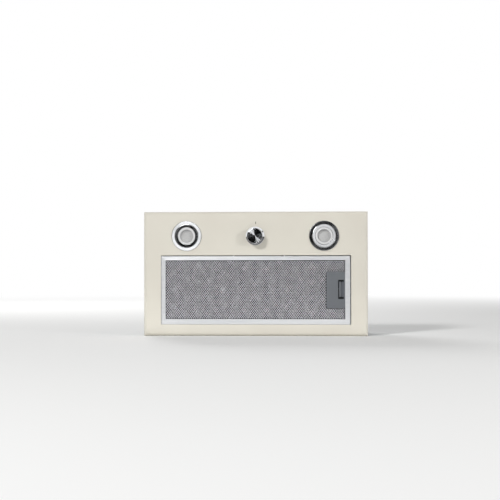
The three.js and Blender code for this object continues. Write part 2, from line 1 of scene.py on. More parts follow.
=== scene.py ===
# %% [markdown]
# # A built-in range hood, dressed around its frame
#
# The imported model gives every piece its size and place. This lesson dresses it: the pieces that show get
# their pressed bends, rounded edges, real mesh and screws, and every piece gets a finish made of nodes.
# The hood stands on the wall-side edge of its flange, with its underside towards -Y and its outlet to +Y.

import math

import bmesh
import bpy
from mathutils import Matrix, Vector


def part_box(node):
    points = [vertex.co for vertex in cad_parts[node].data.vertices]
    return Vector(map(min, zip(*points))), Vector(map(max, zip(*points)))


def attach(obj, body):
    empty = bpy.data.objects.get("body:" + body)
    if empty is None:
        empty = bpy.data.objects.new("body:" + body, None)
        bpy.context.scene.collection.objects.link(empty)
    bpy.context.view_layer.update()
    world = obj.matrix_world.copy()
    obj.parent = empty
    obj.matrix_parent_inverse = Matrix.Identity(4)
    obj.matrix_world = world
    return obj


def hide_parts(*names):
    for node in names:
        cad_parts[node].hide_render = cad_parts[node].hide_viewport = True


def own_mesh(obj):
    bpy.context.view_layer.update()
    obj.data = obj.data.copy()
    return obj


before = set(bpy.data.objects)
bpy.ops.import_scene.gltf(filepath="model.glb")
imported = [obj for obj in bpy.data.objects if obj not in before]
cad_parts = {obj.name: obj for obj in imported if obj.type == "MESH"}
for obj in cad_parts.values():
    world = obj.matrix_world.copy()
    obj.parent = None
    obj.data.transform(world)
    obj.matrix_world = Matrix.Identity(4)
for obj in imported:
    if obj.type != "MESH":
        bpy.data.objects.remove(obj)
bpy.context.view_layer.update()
print("nodes:", len(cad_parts))

# %% [markdown]
# ## Nodes in one call
#
# The finishes, the floor and the world are all made of nodes. One helper adds a node, sets it and wires
# it: a setting that starts with in_ is an input, and takes either a value or the output that feeds it.

# %% Node helpers
def colour(red, green, blue):
    """A screen colour, 0 to 255, as the linear value that shaders use."""
    screen = [value / 255 for value in (red, green, blue)]
    return [((value + 0.055) / 1.055) ** 2.4 for value in screen] + [1.0]


def node(tree, kind, **settings):
    """Adds a node. A setting is a property, or as in_NAME or in_NUMBER an input's value or source."""
    made = tree.nodes.new("ShaderNode" + kind)
    for setting, value in settings.items():
        if not setting.startswith("in_"):
            setattr(made, setting, value)
            continue
        label = setting[3:].replace("_", " ")
        socket = made.inputs[int(label) if label.isdigit() else label]
        if isinstance(value, bpy.types.NodeSocket):
            tree.links.new(value, socket)
        else:
            socket.default_value = value
    return made


def ramp(tree, source, low, high, start=0.0, end=1.0, **settings):
    """Spreads a value from one range over another."""
    return node(tree, "MapRange", in_Value=source, in_From_Min=low, in_From_Max=high,
                in_To_Min=start, in_To_Max=end, **settings).outputs["Result"]


def plain_finish(name, **values):
    """A material that is only its shader, with these values on its sockets."""
    made = bpy.data.materials.new(name)
    made.use_nodes = True
    for label, value in values.items():
        made.node_tree.nodes["Principled BSDF"].inputs[label.replace("_", " ")].default_value = value
    return made

# %% [markdown]
# ## Camera
#
# A 90 mm lens from almost three metres keeps the long panel's edges nearly parallel, as a product shot
# does. The camera stands a little right of the middle and low, so the counter runs out flat below.

# %% Camera
LENS, SENSOR = 90, 36
CAMERA_PLACE = (0.1591, -2.9746, 0.1708)
CAMERA_TURN = (90.56, 0.086, 3.39)
bpy.ops.object.camera_add(location=CAMERA_PLACE, rotation=[math.radians(turn) for turn in CAMERA_TURN])
camera = bpy.context.object
camera.data.lens, camera.data.sensor_width = LENS, SENSOR
bpy.context.scene.camera = camera
bpy.context.scene.view_settings.view_transform = "Standard"
print("camera at", [round(v, 3) for v in camera.location])

# %% [markdown]
# ## Studio
#
# The floor is a pale plate on which the hood stands. What falls on it from the room grows from the left
# to the right, so that shadows stay open on one side. The white background is only what the camera, gloss
# and glass see of the world and of the floor's far part: it adds no light of its own.

# %% World
AMBIENT = (0.09, 0.46)
WHITE = (1, 1, 1, 1)


def eye_and_gloss(tree):
    """One for what the camera, gloss or glass sees, and zero for the light that falls on things."""
    path = node(tree, "LightPath")
    found = path.outputs["Is Camera Ray"]
    for ray in ("Is Glossy Ray", "Is Transmission Ray"):
        found = node(tree, "Math", operation="MAXIMUM", in_0=found, in_1=path.outputs[ray]).outputs[0]
    return found


def two_ways(tree, share, first, second, output):
    """Mixes two shader nodes by a share, into the surface of an output node."""
    mix = node(tree, "MixShader", in_0=share, in_1=first.outputs[0], in_2=second.outputs[0])
    tree.links.new(mix.outputs[0], output.inputs["Surface"])


world = bpy.data.worlds.new("studio")
bpy.context.scene.world = world
world.use_nodes = True
sky = world.node_tree
sky.nodes.clear()
toward = node(sky, "SeparateXYZ", in_0=node(sky, "TexCoord").outputs["Generated"])
room = node(sky, "Background", in_Color=WHITE, in_Strength=ramp(sky, toward.outputs["X"], -1, 1, *AMBIENT))
backdrop = node(sky, "Background", in_Color=WHITE, in_Strength=1)
two_ways(sky, eye_and_gloss(sky), room, backdrop, node(sky, "OutputWorld"))
print("world: ambient from left to right", AMBIENT, "and a white background")

# %% Floor
FLOOR_SIZE = 24
FLOOR_FADE = (1.3, 3.6)
bpy.ops.mesh.primitive_plane_add(size=FLOOR_SIZE)
floor = bpy.context.object
floor.name = "floor"
floor_finish = plain_finish(
    "pale floor", Base_Color=colour(247, 247, 246), Roughness=1, Specular_IOR_Level=0)
tree = floor_finish.node_tree
distance = node(tree, "VectorMath", operation="LENGTH", in_0=node(tree, "TexCoord").outputs["Object"])
fade = ramp(tree, distance.outputs["Value"], *FLOOR_FADE, interpolation_type="SMOOTHSTEP")
far_and_seen = node(tree, "Math", operation="MULTIPLY", in_0=fade, in_1=eye_and_gloss(tree))
two_ways(tree, far_and_seen.outputs[0], tree.nodes["Principled BSDF"],
         node(tree, "Emission", in_Color=WHITE, in_Strength=1), tree.nodes["Material Output"])
floor.data.materials.append(floor_finish)
print("floor", floor.dimensions[:2], "fades to white from", FLOOR_FADE, "m")

# %% [markdown]
# ## Lamps of the studio
#
# One soft key lamp from the upper left makes the shadows beside the knob and in the lamp cups, and a
# weaker one on the right opens them up. A narrow strip at the floor lifts the panel's lowest edge, as a
# polished counter does, and a broad lamp behind shows the box and its outlet.

# %% Lamps
def soft_lamp(name, place, target, size, watts, depth=None):
    """A square or rectangular area lamp that looks at a point, and that no camera or gloss sees."""
    bpy.ops.object.light_add(type="AREA", location=place)
    lamp = bpy.context.object
    lamp.name = name
    lamp.rotation_euler = (Vector(target) - Vector(place)).to_track_quat("-Z", "Y").to_euler()
    lamp.data.shape = "RECTANGLE"
    lamp.data.size, lamp.data.size_y = size, depth or size
    lamp.data.energy = watts
    lamp.visible_glossy = lamp.visible_camera = False
    print(name, watts, "W")


HOOD_MIDDLE = (0, 0, 0.15)
soft_lamp("key", (-2.0, -3.5, 2.65), HOOD_MIDDLE, 0.8, 109)
soft_lamp("fill", (2.3, -1.7, 0.75), HOOD_MIDDLE, 0.7, 19)
soft_lamp("bounce", (0, -0.14, 0.004), (0, -0.14, 1), 0.9, 0.13, depth=0.06)
soft_lamp("rear", (-1.2, 2.4, 1.8), HOOD_MIDDLE, 1.2, 40)

# %% [markdown]
# ## Flags for the polished parts
#
# Polished rings show what stands in front of them. Dark cloths behind the camera and on the floor give
# them their depth, a grey one close by softens the floor's reflection, and cards give the bright rings
# and the fan of light on the spun knob. Each card stands where one piece mirrors the camera. Only gloss
# sees them, so they neither light the hood nor stand in the picture.

# %% Flags and cards
CARD_Y = -3.2


def glow(name, level):
    """A finish of one even level, for what only shows as a reflection."""
    return plain_finish(name, Base_Color=(0, 0, 0, 1), Roughness=1, Specular_IOR_Level=0,
                        Emission_Color=(level, level, level, 1), Emission_Strength=1)


def flag(name, finish):
    """Names the new card, gives it its finish and hides it from all but reflections."""
    card = bpy.context.object
    card.name = name
    card.data.materials.append(finish)
    card.visible_camera = card.visible_diffuse = card.visible_shadow = card.visible_transmission = False
    print("flag", name)


def ring_card(name, mirror, outer, inner, finish):
    """A flat ring that faces the hood, around the point that a piece mirrors."""
    bpy.ops.mesh.primitive_circle_add(
        vertices=48, radius=outer, fill_type="NGON", location=(mirror[0], CARD_Y, mirror[1]),
        rotation=(math.pi / 2, 0, 0))
    bpy.ops.object.mode_set(mode="EDIT")
    bpy.ops.mesh.select_all(action="SELECT")
    bpy.ops.mesh.inset(thickness=outer - inner)
    bpy.ops.mesh.delete(type="FACE")
    bpy.ops.object.mode_set(mode="OBJECT")
    flag(name, finish)


def cloth(name, place, turn, size, finish):
    """A flat rectangle, turned about X."""
    bpy.ops.mesh.primitive_plane_add(size=1, location=place, rotation=(turn, 0, 0))
    bpy.context.object.scale = (*size, 1)
    flag(name, finish)


def fan_card(name, mirror, angles, reaches, finish):
    """A card between two angles in degrees, whose sides run out from a mirrored point: it throws a fan."""
    bpy.ops.mesh.primitive_plane_add(size=1)
    corners = [(reach, math.radians(angle)) for angle in angles for reach in reaches]
    for point, (reach, turn) in zip(bpy.context.object.data.vertices, corners):
        point.co = (mirror[0] + reach * math.cos(turn), CARD_Y, mirror[1] + reach * math.sin(turn))
    flag(name, finish)


LEFT_MIRROR, RIGHT_MIRROR, KNOB_MIRROR = (-0.503, 0.297), (0.16, 0.297), (-0.171, 0.297)
CLOTH_WIDTH = 6.2
dark = glow("dark cloth", 0.004)
cloth("dark_cloth", (0, CARD_Y - 0.1, 1.2), math.pi / 2, (CLOTH_WIDTH, 2.6), dark)
cloth("dark_cloth_below", (0, -2.05, 0.003), 0, (CLOTH_WIDTH, 2.4), dark)
cloth("grey_cloth_below", (0, -0.53, 0.003), 0, (CLOTH_WIDTH, 0.64), glow("grey cloth", 0.22))
ring_card("left_lamp_card", LEFT_MIRROR, 0.079, 0.05, glow("white card", 1.22))
ring_card("right_lamp_card", RIGHT_MIRROR, 0.125, 0.079, glow("grey card", 0.84))
fan_card("knob_card", KNOB_MIRROR, (104, 148), (0.33, 1.1), glow("knob card", 7.4))

# %% [markdown]
# ## Working by hand, in code
#
# Every new piece starts as a primitive at its own size and place and is then shaped in edit mode. An
# operator acts on all that is selected, so these helpers first say which piece is worked on, and then
# which of its faces, edges or points, by their place or direction. Lengths in Blender are metres, and MM
# makes them from millimetres. Places closer than SAME count as one, and an edge runs along an axis from
# ALONG up.

# %% Picking
MM = 0.001
SAME, ALONG = 1e-5, 0.99


def clear():
    """Leaves edit mode with nothing selected."""
    if bpy.context.mode != "OBJECT":
        bpy.ops.object.mode_set(mode="OBJECT")
    bpy.ops.object.select_all(action="DESELECT")


def take(piece):
    """Makes one piece the only selected one, in object mode."""
    clear()
    piece.select_set(True)
    bpy.context.view_layer.objects.active = piece


def pick(piece, kind, keep):
    """In edit mode, selects the faces, edges or points for which keep(place, direction) is true."""
    if bpy.context.mode != "EDIT_MESH":
        take(piece)
        bpy.ops.object.mode_set(mode="EDIT")
    bpy.ops.mesh.select_mode(type=kind)
    bpy.ops.mesh.select_all(action="DESELECT")
    mesh = bmesh.from_edit_mesh(piece.data)
    if kind == "FACE":
        found = [f for f in mesh.faces if keep(f.calc_center_median(), f.normal)]
    elif kind == "EDGE":
        ends = [(e, e.verts[0].co, e.verts[1].co) for e in mesh.edges]
        found = [e for e, start, end in ends if keep((start + end) / 2, (end - start).normalized())]
    else:
        found = [v for v in mesh.verts if keep(v.co, v.normal)]
    for element in found:
        element.select = True
    mesh.select_flush_mode()
    bmesh.update_edit_mesh(piece.data)

# %% [markdown]
# ### Boxes
#
# Plates, cases and cutters are boxes, given by two corners. A primitive's place, turn and size go into
# its mesh at once, because a finished piece's object has to sit at the origin, unturned and unscaled.

# %% Boxes
DOUBLES = 1e-6


def settled(name, scale=(1, 1, 1)):
    """Names and sizes the new primitive, and moves its place, turn and size into its mesh."""
    piece = bpy.context.object
    piece.name = name
    piece.scale = scale
    bpy.ops.object.transform_apply(location=True, rotation=True, scale=True)
    return piece


def mend():
    """Merges points that lie on each other, turns every face outwards and leaves edit mode."""
    bpy.ops.mesh.select_all(action="SELECT")
    bpy.ops.mesh.remove_doubles(threshold=DOUBLES)
    bpy.ops.mesh.normals_make_consistent(inside=False)
    clear()


def middle_of(node_name):
    """The middle of a node's box."""
    low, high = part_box(node_name)
    return (low + high) / 2


def block(name, low, high):
    """A box primitive from corner to corner."""
    clear()
    low, high = Vector(low), Vector(high)
    bpy.ops.mesh.primitive_cube_add(size=1, location=(low + high) / 2)
    return settled(name, high - low)


def round_block(name, low, high, radius, axis=1, steps=4):
    """A box with its four edges along one axis rounded: a plate, a case or a slot's cutter."""
    piece = block(name, low, high)
    pick(piece, "EDGE", lambda place, run: abs(run[axis]) > ALONG)
    bpy.ops.mesh.bevel(offset=radius, segments=steps, affect="EDGES")
    clear()
    return piece

# %% [markdown]
# ### Modifiers, cuts and copies
#
# Modifiers could stay live on each piece, but later steps pick faces and edges of the shape that they
# leave, so each is applied as soon as it is set. A bevel breaks the edges, Solidify gives a drawn sheet
# its thickness, and Booleans cut and weld. What repeats is copied, each copy with its own mesh.

# %% Modifiers, cuts and copies
def modify(piece, kind, **settings):
    """Adds one modifier with these settings and applies it at once."""
    take(piece)
    bpy.ops.object.modifier_add(type=kind)
    modifier = piece.modifiers[-1]
    for setting, value in settings.items():
        setattr(modifier, setting, value)
    bpy.ops.object.modifier_apply(modifier=modifier.name)
    return piece


def soften(piece, width, steps=2, angle=30):
    """Breaks the sharp edges, as a press, a mould or a deburring wheel does."""
    return modify(piece, "BEVEL", width=width, segments=steps, limit_method="ANGLE",
                  angle_limit=math.radians(angle), harden_normals=False)


def thicken(piece, thickness, side):
    """Gives a drawn sheet its thickness: along its normals, against them, or with side 0 both ways."""
    return modify(piece, "SOLIDIFY", thickness=thickness, offset=side, use_even_offset=True)


def carve(piece, *tools, operation="DIFFERENCE"):
    """Cuts the tools out of the piece, or welds them to it, and removes them."""
    for tool in tools:
        modify(piece, "BOOLEAN", object=tool, operation=operation, solver="EXACT")
        bpy.data.objects.remove(tool)
    return piece


def joined(piece, *others):
    """Makes one object of several, without changing their shapes."""
    take(piece)
    for other in others:
        other.select_set(True)
    if others:
        bpy.ops.object.join()
    return piece


def copied(piece, name, move):
    """A copy with its own mesh, moved and turned within the mesh."""
    twin = piece.copy()
    twin.data = piece.data.copy()
    twin.name = name
    bpy.context.collection.objects.link(twin)
    twin.data.transform(move)
    return twin

# %% [markdown]
# ### Turned pieces
#
# Rings, lenses, the knob and the screws are turned. A cylinder with many insets could give such a shape,
# but an outline says it in fewer words: it is drawn point by point and spun once round the axis. Long
# straight runs get a close point near each end, so that smooth shading stays even up to the edge.

# %% Turned pieces
LONG_RUN, SUPPORT = 1.0, 0.12


def supported(outline):
    """Adds a close point at both ends of each long run, so that a turned face shades evenly to its edge."""
    points = [outline[0]]
    for before, after in zip(outline, outline[1:]):
        run = math.dist(before, after)
        if run > LONG_RUN:
            for share in (SUPPORT / run, 1 - SUPPORT / run):
                points.append(tuple(b + (a - b) * share for b, a in zip(before, after)))
        points.append(after)
    return points


def turned(name, centre, outline, facets=96, axis="Y"):
    """A turned piece: an outline of (radius, reach) points in millimetres, drawn point by point and spun.

    The reach runs along X or Y from the centre. An outline that starts off the axis closes on itself.
    """
    clear()
    centre, out = Vector(centre), Vector((0, 0, 1))
    along = Vector((1, 0, 0) if axis == "X" else (0, 1, 0))
    if outline[0][0] > 0:
        outline = [*outline, outline[0]]
    points = [centre + (out * radius + along * reach) * MM for radius, reach in supported(outline)]
    bpy.ops.mesh.primitive_plane_add(size=MM, location=points[0])
    piece = settled(name)
    bpy.ops.object.mode_set(mode="EDIT")
    bpy.ops.mesh.select_mode(type="VERT")
    bpy.ops.mesh.select_all(action="SELECT")
    bpy.ops.mesh.merge(type="CENTER")
    for before, after in zip(points, points[1:]):
        bpy.ops.mesh.extrude_vertices_move(TRANSFORM_OT_translate={"value": after - before})
    bpy.ops.mesh.select_all(action="SELECT")
    bpy.ops.mesh.spin(steps=facets, angle=2 * math.pi, center=centre, axis=along)
    mend()
    return piece

# %% [markdown]
# ### Swept pieces
#
# The panel's rim, the filter's frame and its seal run round a rectangle. A profile on a curve would be
# equally wide on all four sides, so the section goes round as loops instead: the edges of one loop are
# extruded and scaled to the next, and each corner gets its own mitre.

# %% Swept pieces
def measured(left, right, low, high, y):
    """The middle and the size of a loop that stands at a depth y."""
    return Vector(((left + right) / 2, y, (low + high) / 2)), Vector((right - left, 1, high - low))


def swept(name, loops, closed=True, keep_face=False):
    """A mitred section around a rectangle: each loop is (left, right, low, high, y).

    It starts as a plane of the first loop's size, whose edges are extruded and scaled from loop to loop.
    """
    clear()
    (middle, size), *following = [measured(*loop) for loop in loops + (loops[:1] if closed else [])]
    bpy.ops.mesh.primitive_plane_add(size=1, location=middle, rotation=(math.pi / 2, 0, 0))
    piece = settled(name, (size.x, size.z, 1))
    bpy.ops.object.mode_set(mode="EDIT")
    bpy.ops.mesh.select_mode(type="EDGE")
    bpy.ops.mesh.select_all(action="SELECT")
    if not keep_face:
        bpy.ops.mesh.delete(type="ONLY_FACE")
        bpy.ops.mesh.select_all(action="SELECT")
    for goal, goal_size in following:
        bpy.ops.mesh.extrude_edges_move(TRANSFORM_OT_translate={"value": goal - middle})
        bpy.ops.transform.resize(
            value=(goal_size.x / size.x, 1, goal_size.z / size.z), center_override=goal)
        middle, size = goal, goal_size
    mend()
    return piece

# %% [markdown]
# ### Dressing
#
# A finished piece is shaded, gets its finish and is hung on its body, in place of the plain pieces that
# it replaces. Weighted normals let the large faces decide the shading, so that flats stay flat and the
# narrow bevels look round.

# %% Dressing
def dress(piece, body, slot, finish, *nodes, smooth=30):
    """Shades a finished piece, gives it its finish and hangs it on its body."""
    take(piece)
    bpy.ops.object.shade_smooth_by_angle(angle=math.radians(smooth))
    modify(piece, "WEIGHTED_NORMAL", keep_sharp=True, weight=100)
    piece.data.materials.clear()
    piece.data.materials.append(finish)
    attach(piece, body)
    if nodes:
        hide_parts(*nodes)
    clear()
    print(piece.name, len(piece.data.polygons), "faces on", body)

# %% [markdown]
# ## Finishes
#
# Real surfaces are never one even value. Four small node groups make what they share: the orange peel of
# a coating, drawn lines, zinc crystals and the faint haze that handling leaves. Each finish places them
# with its own values, and the shader stays in the finish itself.

# %% Group helpers
VALUE, VECTOR = "NodeSocketFloat", "NodeSocketVector"


def new_group(name, **start):
    """An empty group that takes a place and the inputs given with their start values."""
    tree = bpy.data.node_groups.new(name, "ShaderNodeTree")
    tree.interface.new_socket(name="Place", in_out="INPUT", socket_type=VECTOR)
    for label, value in start.items():
        tree.interface.new_socket(name=label, in_out="INPUT", socket_type=VALUE).default_value = value
    return tree, tree.nodes.new("NodeGroupInput").outputs


def closed_group(tree, **sources):
    """Gives a group its named outputs, and wires them."""
    for label in sources:
        tree.interface.new_socket(name=label, in_out="OUTPUT", socket_type=VALUE)
    leaving = tree.nodes.new("NodeGroupOutput")
    for label, source in sources.items():
        tree.links.new(source, leaving.inputs[label])
    print("group", tree.name)
    return tree


def inverse(tree, size):
    """The scale at which a texture's features have this size."""
    return node(tree, "Math", operation="DIVIDE", in_0=1, in_1=size).outputs[0]

# %% The groups
def peel_group():
    """Orange peel: soft dimples of a sprayed or moulded surface, and a slow drift of tone."""
    tree, given = new_group("Orange Peel", Size=0.002)
    dimples = node(tree, "TexNoise", in_Vector=given["Place"], in_Scale=inverse(tree, given["Size"]),
                   in_Detail=1.5, in_Roughness=0.45)
    drift = node(tree, "TexNoise", in_Vector=given["Place"], in_Scale=7, in_Detail=2)
    return closed_group(tree, Height=dimples.outputs[0], Drift=ramp(tree, drift.outputs[0], 0.3, 0.7))


def lines_group():
    """Drawn lines: noise pulled out along one direction, which the place's own scale gives."""
    tree, given = new_group("Drawn Lines", Scale=1.0)
    broad_scale = node(tree, "Math", operation="MULTIPLY", in_0=given["Scale"], in_1=0.17)
    fine = node(tree, "TexNoise", in_Vector=given["Place"], in_Scale=given["Scale"],
                in_Detail=3, in_Roughness=0.6)
    broad = node(tree, "TexNoise", in_Vector=given["Place"], in_Scale=broad_scale.outputs[0], in_Detail=1)
    return closed_group(tree, Height=fine.outputs[0], Streak=ramp(tree, broad.outputs[0], 0.3, 0.7))


def spangle_group():
    """Zinc spangle: flat crystals, each with its own tone, and low ridges between them."""
    tree, given = new_group("Zinc Spangle", Size=0.01)
    scaled = {"in_Vector": given["Place"], "in_Scale": inverse(tree, given["Size"])}
    crystals = node(tree, "TexVoronoi", in_Randomness=1, **scaled)
    ridges = node(tree, "TexVoronoi", feature="DISTANCE_TO_EDGE", **scaled)
    feather = node(tree, "TexNoise", in_Detail=4, in_Distortion=1.5, **scaled)
    split = node(tree, "SeparateColor", in_0=crystals.outputs["Color"])
    tone = node(tree, "Mix", data_type="FLOAT", in_0=0.35, in_2=split.outputs[0], in_3=feather.outputs[0])
    return closed_group(tree, Tone=tone.outputs[0], Height=ramp(tree, ridges.outputs[0], 0.0, 0.12))


def haze_group():
    """Handling haze: broad soft smudges with fine specks in them."""
    tree, given = new_group("Handling Haze")
    smudge = node(tree, "TexNoise", in_Vector=given["Place"], in_Scale=16, in_Detail=3, in_Distortion=0.6)
    specks = node(tree, "TexNoise", in_Vector=given["Place"], in_Scale=900, in_Detail=1)
    both = node(tree, "Mix", data_type="FLOAT", in_0=0.3, in_2=smudge.outputs[0], in_3=specks.outputs[0])
    return closed_group(tree, Haze=ramp(tree, both.outputs[0], 0.35, 0.65))


PEEL, LINES, SPANGLE, HAZE = peel_group(), lines_group(), spangle_group(), haze_group()

# %% Finish builder
class Finish:
    """One material being built: its tree, its shader and the place of each point on the piece."""

    def __init__(self, name, metallic=0.0, roughness=0.5):
        self.material = plain_finish(name, Metallic=metallic, Roughness=roughness)
        self.tree = self.material.node_tree
        self.shader = self.tree.nodes["Principled BSDF"]
        self.place = node(self.tree, "TexCoord").outputs["Object"]

    def mapped(self, **settings):
        """The place, moved or scaled by a Mapping node."""
        return node(self.tree, "Mapping", in_Vector=self.place, **settings).outputs["Vector"]

    def effect(self, group, place=None, **values):
        """Places a group, fed with a place and its own values, and returns its outputs."""
        made = self.tree.nodes.new("ShaderNodeGroup")
        made.node_tree = group
        self.tree.links.new(place or self.place, made.inputs["Place"])
        for label, value in values.items():
            made.inputs[label].default_value = value
        return made.outputs

    def feed(self, label, source):
        """Wires a source to one of the shader's sockets."""
        self.tree.links.new(source, self.shader.inputs[label])

    def tint(self, mask, first, second):
        """Base colour between two screen colours."""
        self.feed("Base Color", node(self.tree, "Mix", data_type="RGBA", in_0=mask, in_6=colour(*first),
                                     in_7=colour(*second)).outputs[2])

    def rough(self, mask, low, high):
        """Roughness between two values."""
        self.feed("Roughness", ramp(self.tree, mask, 0, 1, low, high))

    def bump(self, height, distance, strength):
        """A bump from a height between 0 and 1, over a distance in metres."""
        self.feed("Normal", node(self.tree, "Bump", in_Strength=strength, in_Distance=distance,
                                 in_Height=height).outputs["Normal"])

# %% [markdown]
# ### The coatings and plastics
#
# The panel is powder coated: a warm cream, silky, with a peel that only shows in its highlights. The
# plastics have a finer grain from the mould, and a little more haze.

# %% Enamel and plastics
def coated(name, first, second, size, relief, rough, coat=0.0):
    """A coated or moulded surface: peel of a size and relief in metres, drifting tone and hazed gloss."""
    finish = Finish(name)
    peel = finish.effect(PEEL, Size=size)
    finish.tint(peel["Drift"], first, second)
    finish.rough(finish.effect(HAZE)["Haze"], *rough)
    finish.bump(peel["Height"], relief, 0.5)
    finish.shader.inputs["Coat Weight"].default_value = coat
    finish.shader.inputs["Coat Roughness"].default_value = 0.25
    return finish.material


enamel = coated("cream enamel", (222, 218, 206), (217, 212, 200), 0.0016, 0.00004, (0.4, 0.5), coat=0.12)
ink = coated("index ink", (92, 90, 78), (80, 78, 68), 0.0008, 0.00001, (0.45, 0.55))
black_plastic = coated("black plastic", (44, 45, 48), (36, 37, 40), 0.0007, 0.00006, (0.42, 0.6))
grey_plastic = coated("grey plastic", (134, 138, 142), (122, 126, 131), 0.0008, 0.00005, (0.42, 0.58))
white_plastic = coated("white plastic", (233, 233, 228), (224, 224, 217), 0.0009, 0.00004, (0.35, 0.5))
latch_plastic = coated("latch plastic", (113, 117, 121), (104, 107, 112), 0.0009, 0.00004, (0.42, 0.55))
# A darker copy of the latch plastic for the slider's scoop: painted shade.
scoop_shade_plastic = coated("slider plastic in painted shade", (104, 108, 115), (95, 98, 105), 0.0009, 0.00004, (0.42, 0.55))
board_mask = coated("white solder mask", (232, 234, 229), (222, 225, 219), 0.0012, 0.00003, (0.35, 0.5))
phosphor = coated("phosphor", (236, 214, 120), (226, 200, 100), 0.0006, 0.00003, (0.5, 0.6))
print("coatings and plastics ready")

# %% [markdown]
# ### The metals
#
# Galvanised sheet shows zinc crystals, anodised aluminium is drawn along its length, chrome is clean but
# for a trace of haze, and turned steel keeps the faint tints of its plating. The mesh is drawn foil, and a
# darker copy of it for the depth of the pack is painted shade.

# %% Metals
def drawn_metal(name, first, second, stretch, relief, rough, metallic=1.0):
    """Metal with lines drawn along the axis whose stretch is small, and a relief in metres."""
    finish = Finish(name, metallic=metallic)
    lines = finish.effect(LINES, finish.mapped(in_Scale=stretch), Scale=900)
    finish.tint(lines["Streak"], first, second)
    finish.rough(finish.effect(HAZE)["Haze"], *rough)
    finish.bump(lines["Height"], relief, 0.6)
    return finish.material


def zinc_sheet():
    """Galvanised sheet: each crystal has its own tone and gloss."""
    finish = Finish("galvanised sheet", metallic=0.9)
    spangle = finish.effect(SPANGLE, Size=0.007)
    finish.tint(spangle["Tone"], (181, 186, 189), (209, 213, 215))
    finish.rough(spangle["Tone"], 0.34, 0.52)
    finish.bump(spangle["Height"], 0.00002, 0.5)
    return finish.material


def polished():
    """Chrome with a trace of haze."""
    finish = Finish("polished chrome", metallic=1)
    haze = finish.effect(HAZE)["Haze"]
    finish.tint(haze, (238, 239, 241), (228, 229, 231))
    finish.rough(haze, 0.02, 0.045)
    return finish.material


def turned_zinc():
    """Zinc plated steel: bright, with the faint warm and cool tints of the plating."""
    finish = Finish("zinc plated steel", metallic=1)
    peel = finish.effect(PEEL, Size=0.0006)
    finish.tint(finish.effect(HAZE)["Haze"], (186, 191, 198), (198, 194, 182))
    finish.rough(peel["Drift"], 0.26, 0.4)
    finish.bump(peel["Height"], 0.00001, 0.4)
    return finish.material


def windings():
    """Varnished copper wire, laid side by side along the motor."""
    finish = Finish("varnished windings", metallic=0.85, roughness=0.35)
    wire = node(finish.tree, "TexWave", bands_direction="X", in_Vector=finish.place, in_Scale=260,
                in_Distortion=1.2, in_Detail=1).outputs["Fac"]
    finish.tint(wire, (122, 62, 32), (190, 112, 62))
    finish.bump(wire, 0.0002, 0.8)
    return finish.material


galvanised = zinc_sheet()
chrome = polished()
steel = turned_zinc()
copper = windings()
spring_steel = drawn_metal(
    "spring steel", (150, 152, 157), (166, 168, 172), (1, 0.05, 1), 0.00001, (0.3, 0.42))
aluminium = drawn_metal(
    "anodised aluminium", (235, 236, 238), (226, 228, 231), (0.04, 1, 1), 0.000006, (0.34, 0.44), 0.35)
mesh_metal = drawn_metal(
    "mesh aluminium", (240, 239, 245), (226, 225, 232), (1, 1, 0.3), 0.00001, (0.3, 0.45), 0.2)
# The same mesh foil, darkened: painted shade for the nets deep in the pack.
shaded_core_mesh = drawn_metal(
    "mesh with painted shade", (52, 51, 57), (40, 39, 45), (1, 1, 0.3), 0.00001, (0.4, 0.55), 0.5)
print("metals ready")

# %% [markdown]
# ## Face panel
#
# The real panel is one sheet: pressed to a rounded rim, folded back behind as a lip, and coated. Here a
# plane is drawn out loop by loop into that rim, given the sheet's thickness, and then pierced. The edges
# that the press cut are rounded a little, because a coating never holds a sharp one.

# %% Panel sheet
panel_low, panel_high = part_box("face_panel")
FRONT = panel_low.y
SHEET, BEND, LIP = 1.0 * MM, 9 * MM, 9 * MM
RIM_STEPS = 10


def rim_loop(inset, y):
    """The panel's rectangle, drawn in by an inset, at a depth y."""
    return (panel_low.x + inset, panel_high.x - inset, panel_low.z + inset, panel_high.z - inset, y)


quarter = [i / RIM_STEPS * math.pi / 2 for i in range(RIM_STEPS + 1)]
rim = [rim_loop(BEND * (1 - math.sin(turn)), FRONT + BEND * (1 - math.cos(turn))) for turn in quarter]
rim += [rim_loop(0, panel_high.y), rim_loop(LIP, panel_high.y)]
panel = swept("panel", rim, closed=False, keep_face=True)
thicken(panel, SHEET, -1)
print("panel sheet", [round(v * 1000, 1) for v in panel.dimensions], "mm")

# %% Panel openings and folds
def at(x, y, z):
    """A point in millimetres: across from the middle, back from the panel's front, up from the floor."""
    return Vector((x * MM, FRONT + y * MM, z * MM))


def behind(y):
    """A depth in metres, so many millimetres behind the panel's front."""
    return at(0, y, 0).y


frame_low, frame_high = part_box("filter_frame")
OPENING_LOW = Vector((frame_low.x - 0.6 * MM, 0, frame_low.z - 0.25 * MM))
OPENING_HIGH = Vector((frame_high.x + 3.4 * MM, 0, frame_high.z + 1.3 * MM))
FOLD, HOLE_EDGE = 7 * MM, 0.35 * MM
LAMP_HOLE, KNOB_HOLE = 29.6 * MM, 5.3 * MM


def on_front(node_name):
    """The middle of a node's box, brought to the panel's front."""
    low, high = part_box(node_name)
    return Vector(((low.x + high.x) / 2, FRONT, (low.z + high.z) / 2))


LAMPS = {side: on_front(f"lamp_bezel_{side}") for side in ("left", "right")}
KNOB = on_front("knob_body")


def drill(centre, radius, facets=96):
    """A cutter for a round hole along Y."""
    clear()
    bpy.ops.mesh.primitive_cylinder_add(
        vertices=facets, radius=radius, depth=40 * MM, location=centre, rotation=(math.pi / 2, 0, 0))
    return settled("drill")


def fold_strip(left, right, low, high):
    """The sheet folded back at one edge of the opening."""
    return block("fold", (left, FRONT + SHEET / 2, low), (right, FRONT + FOLD, high))


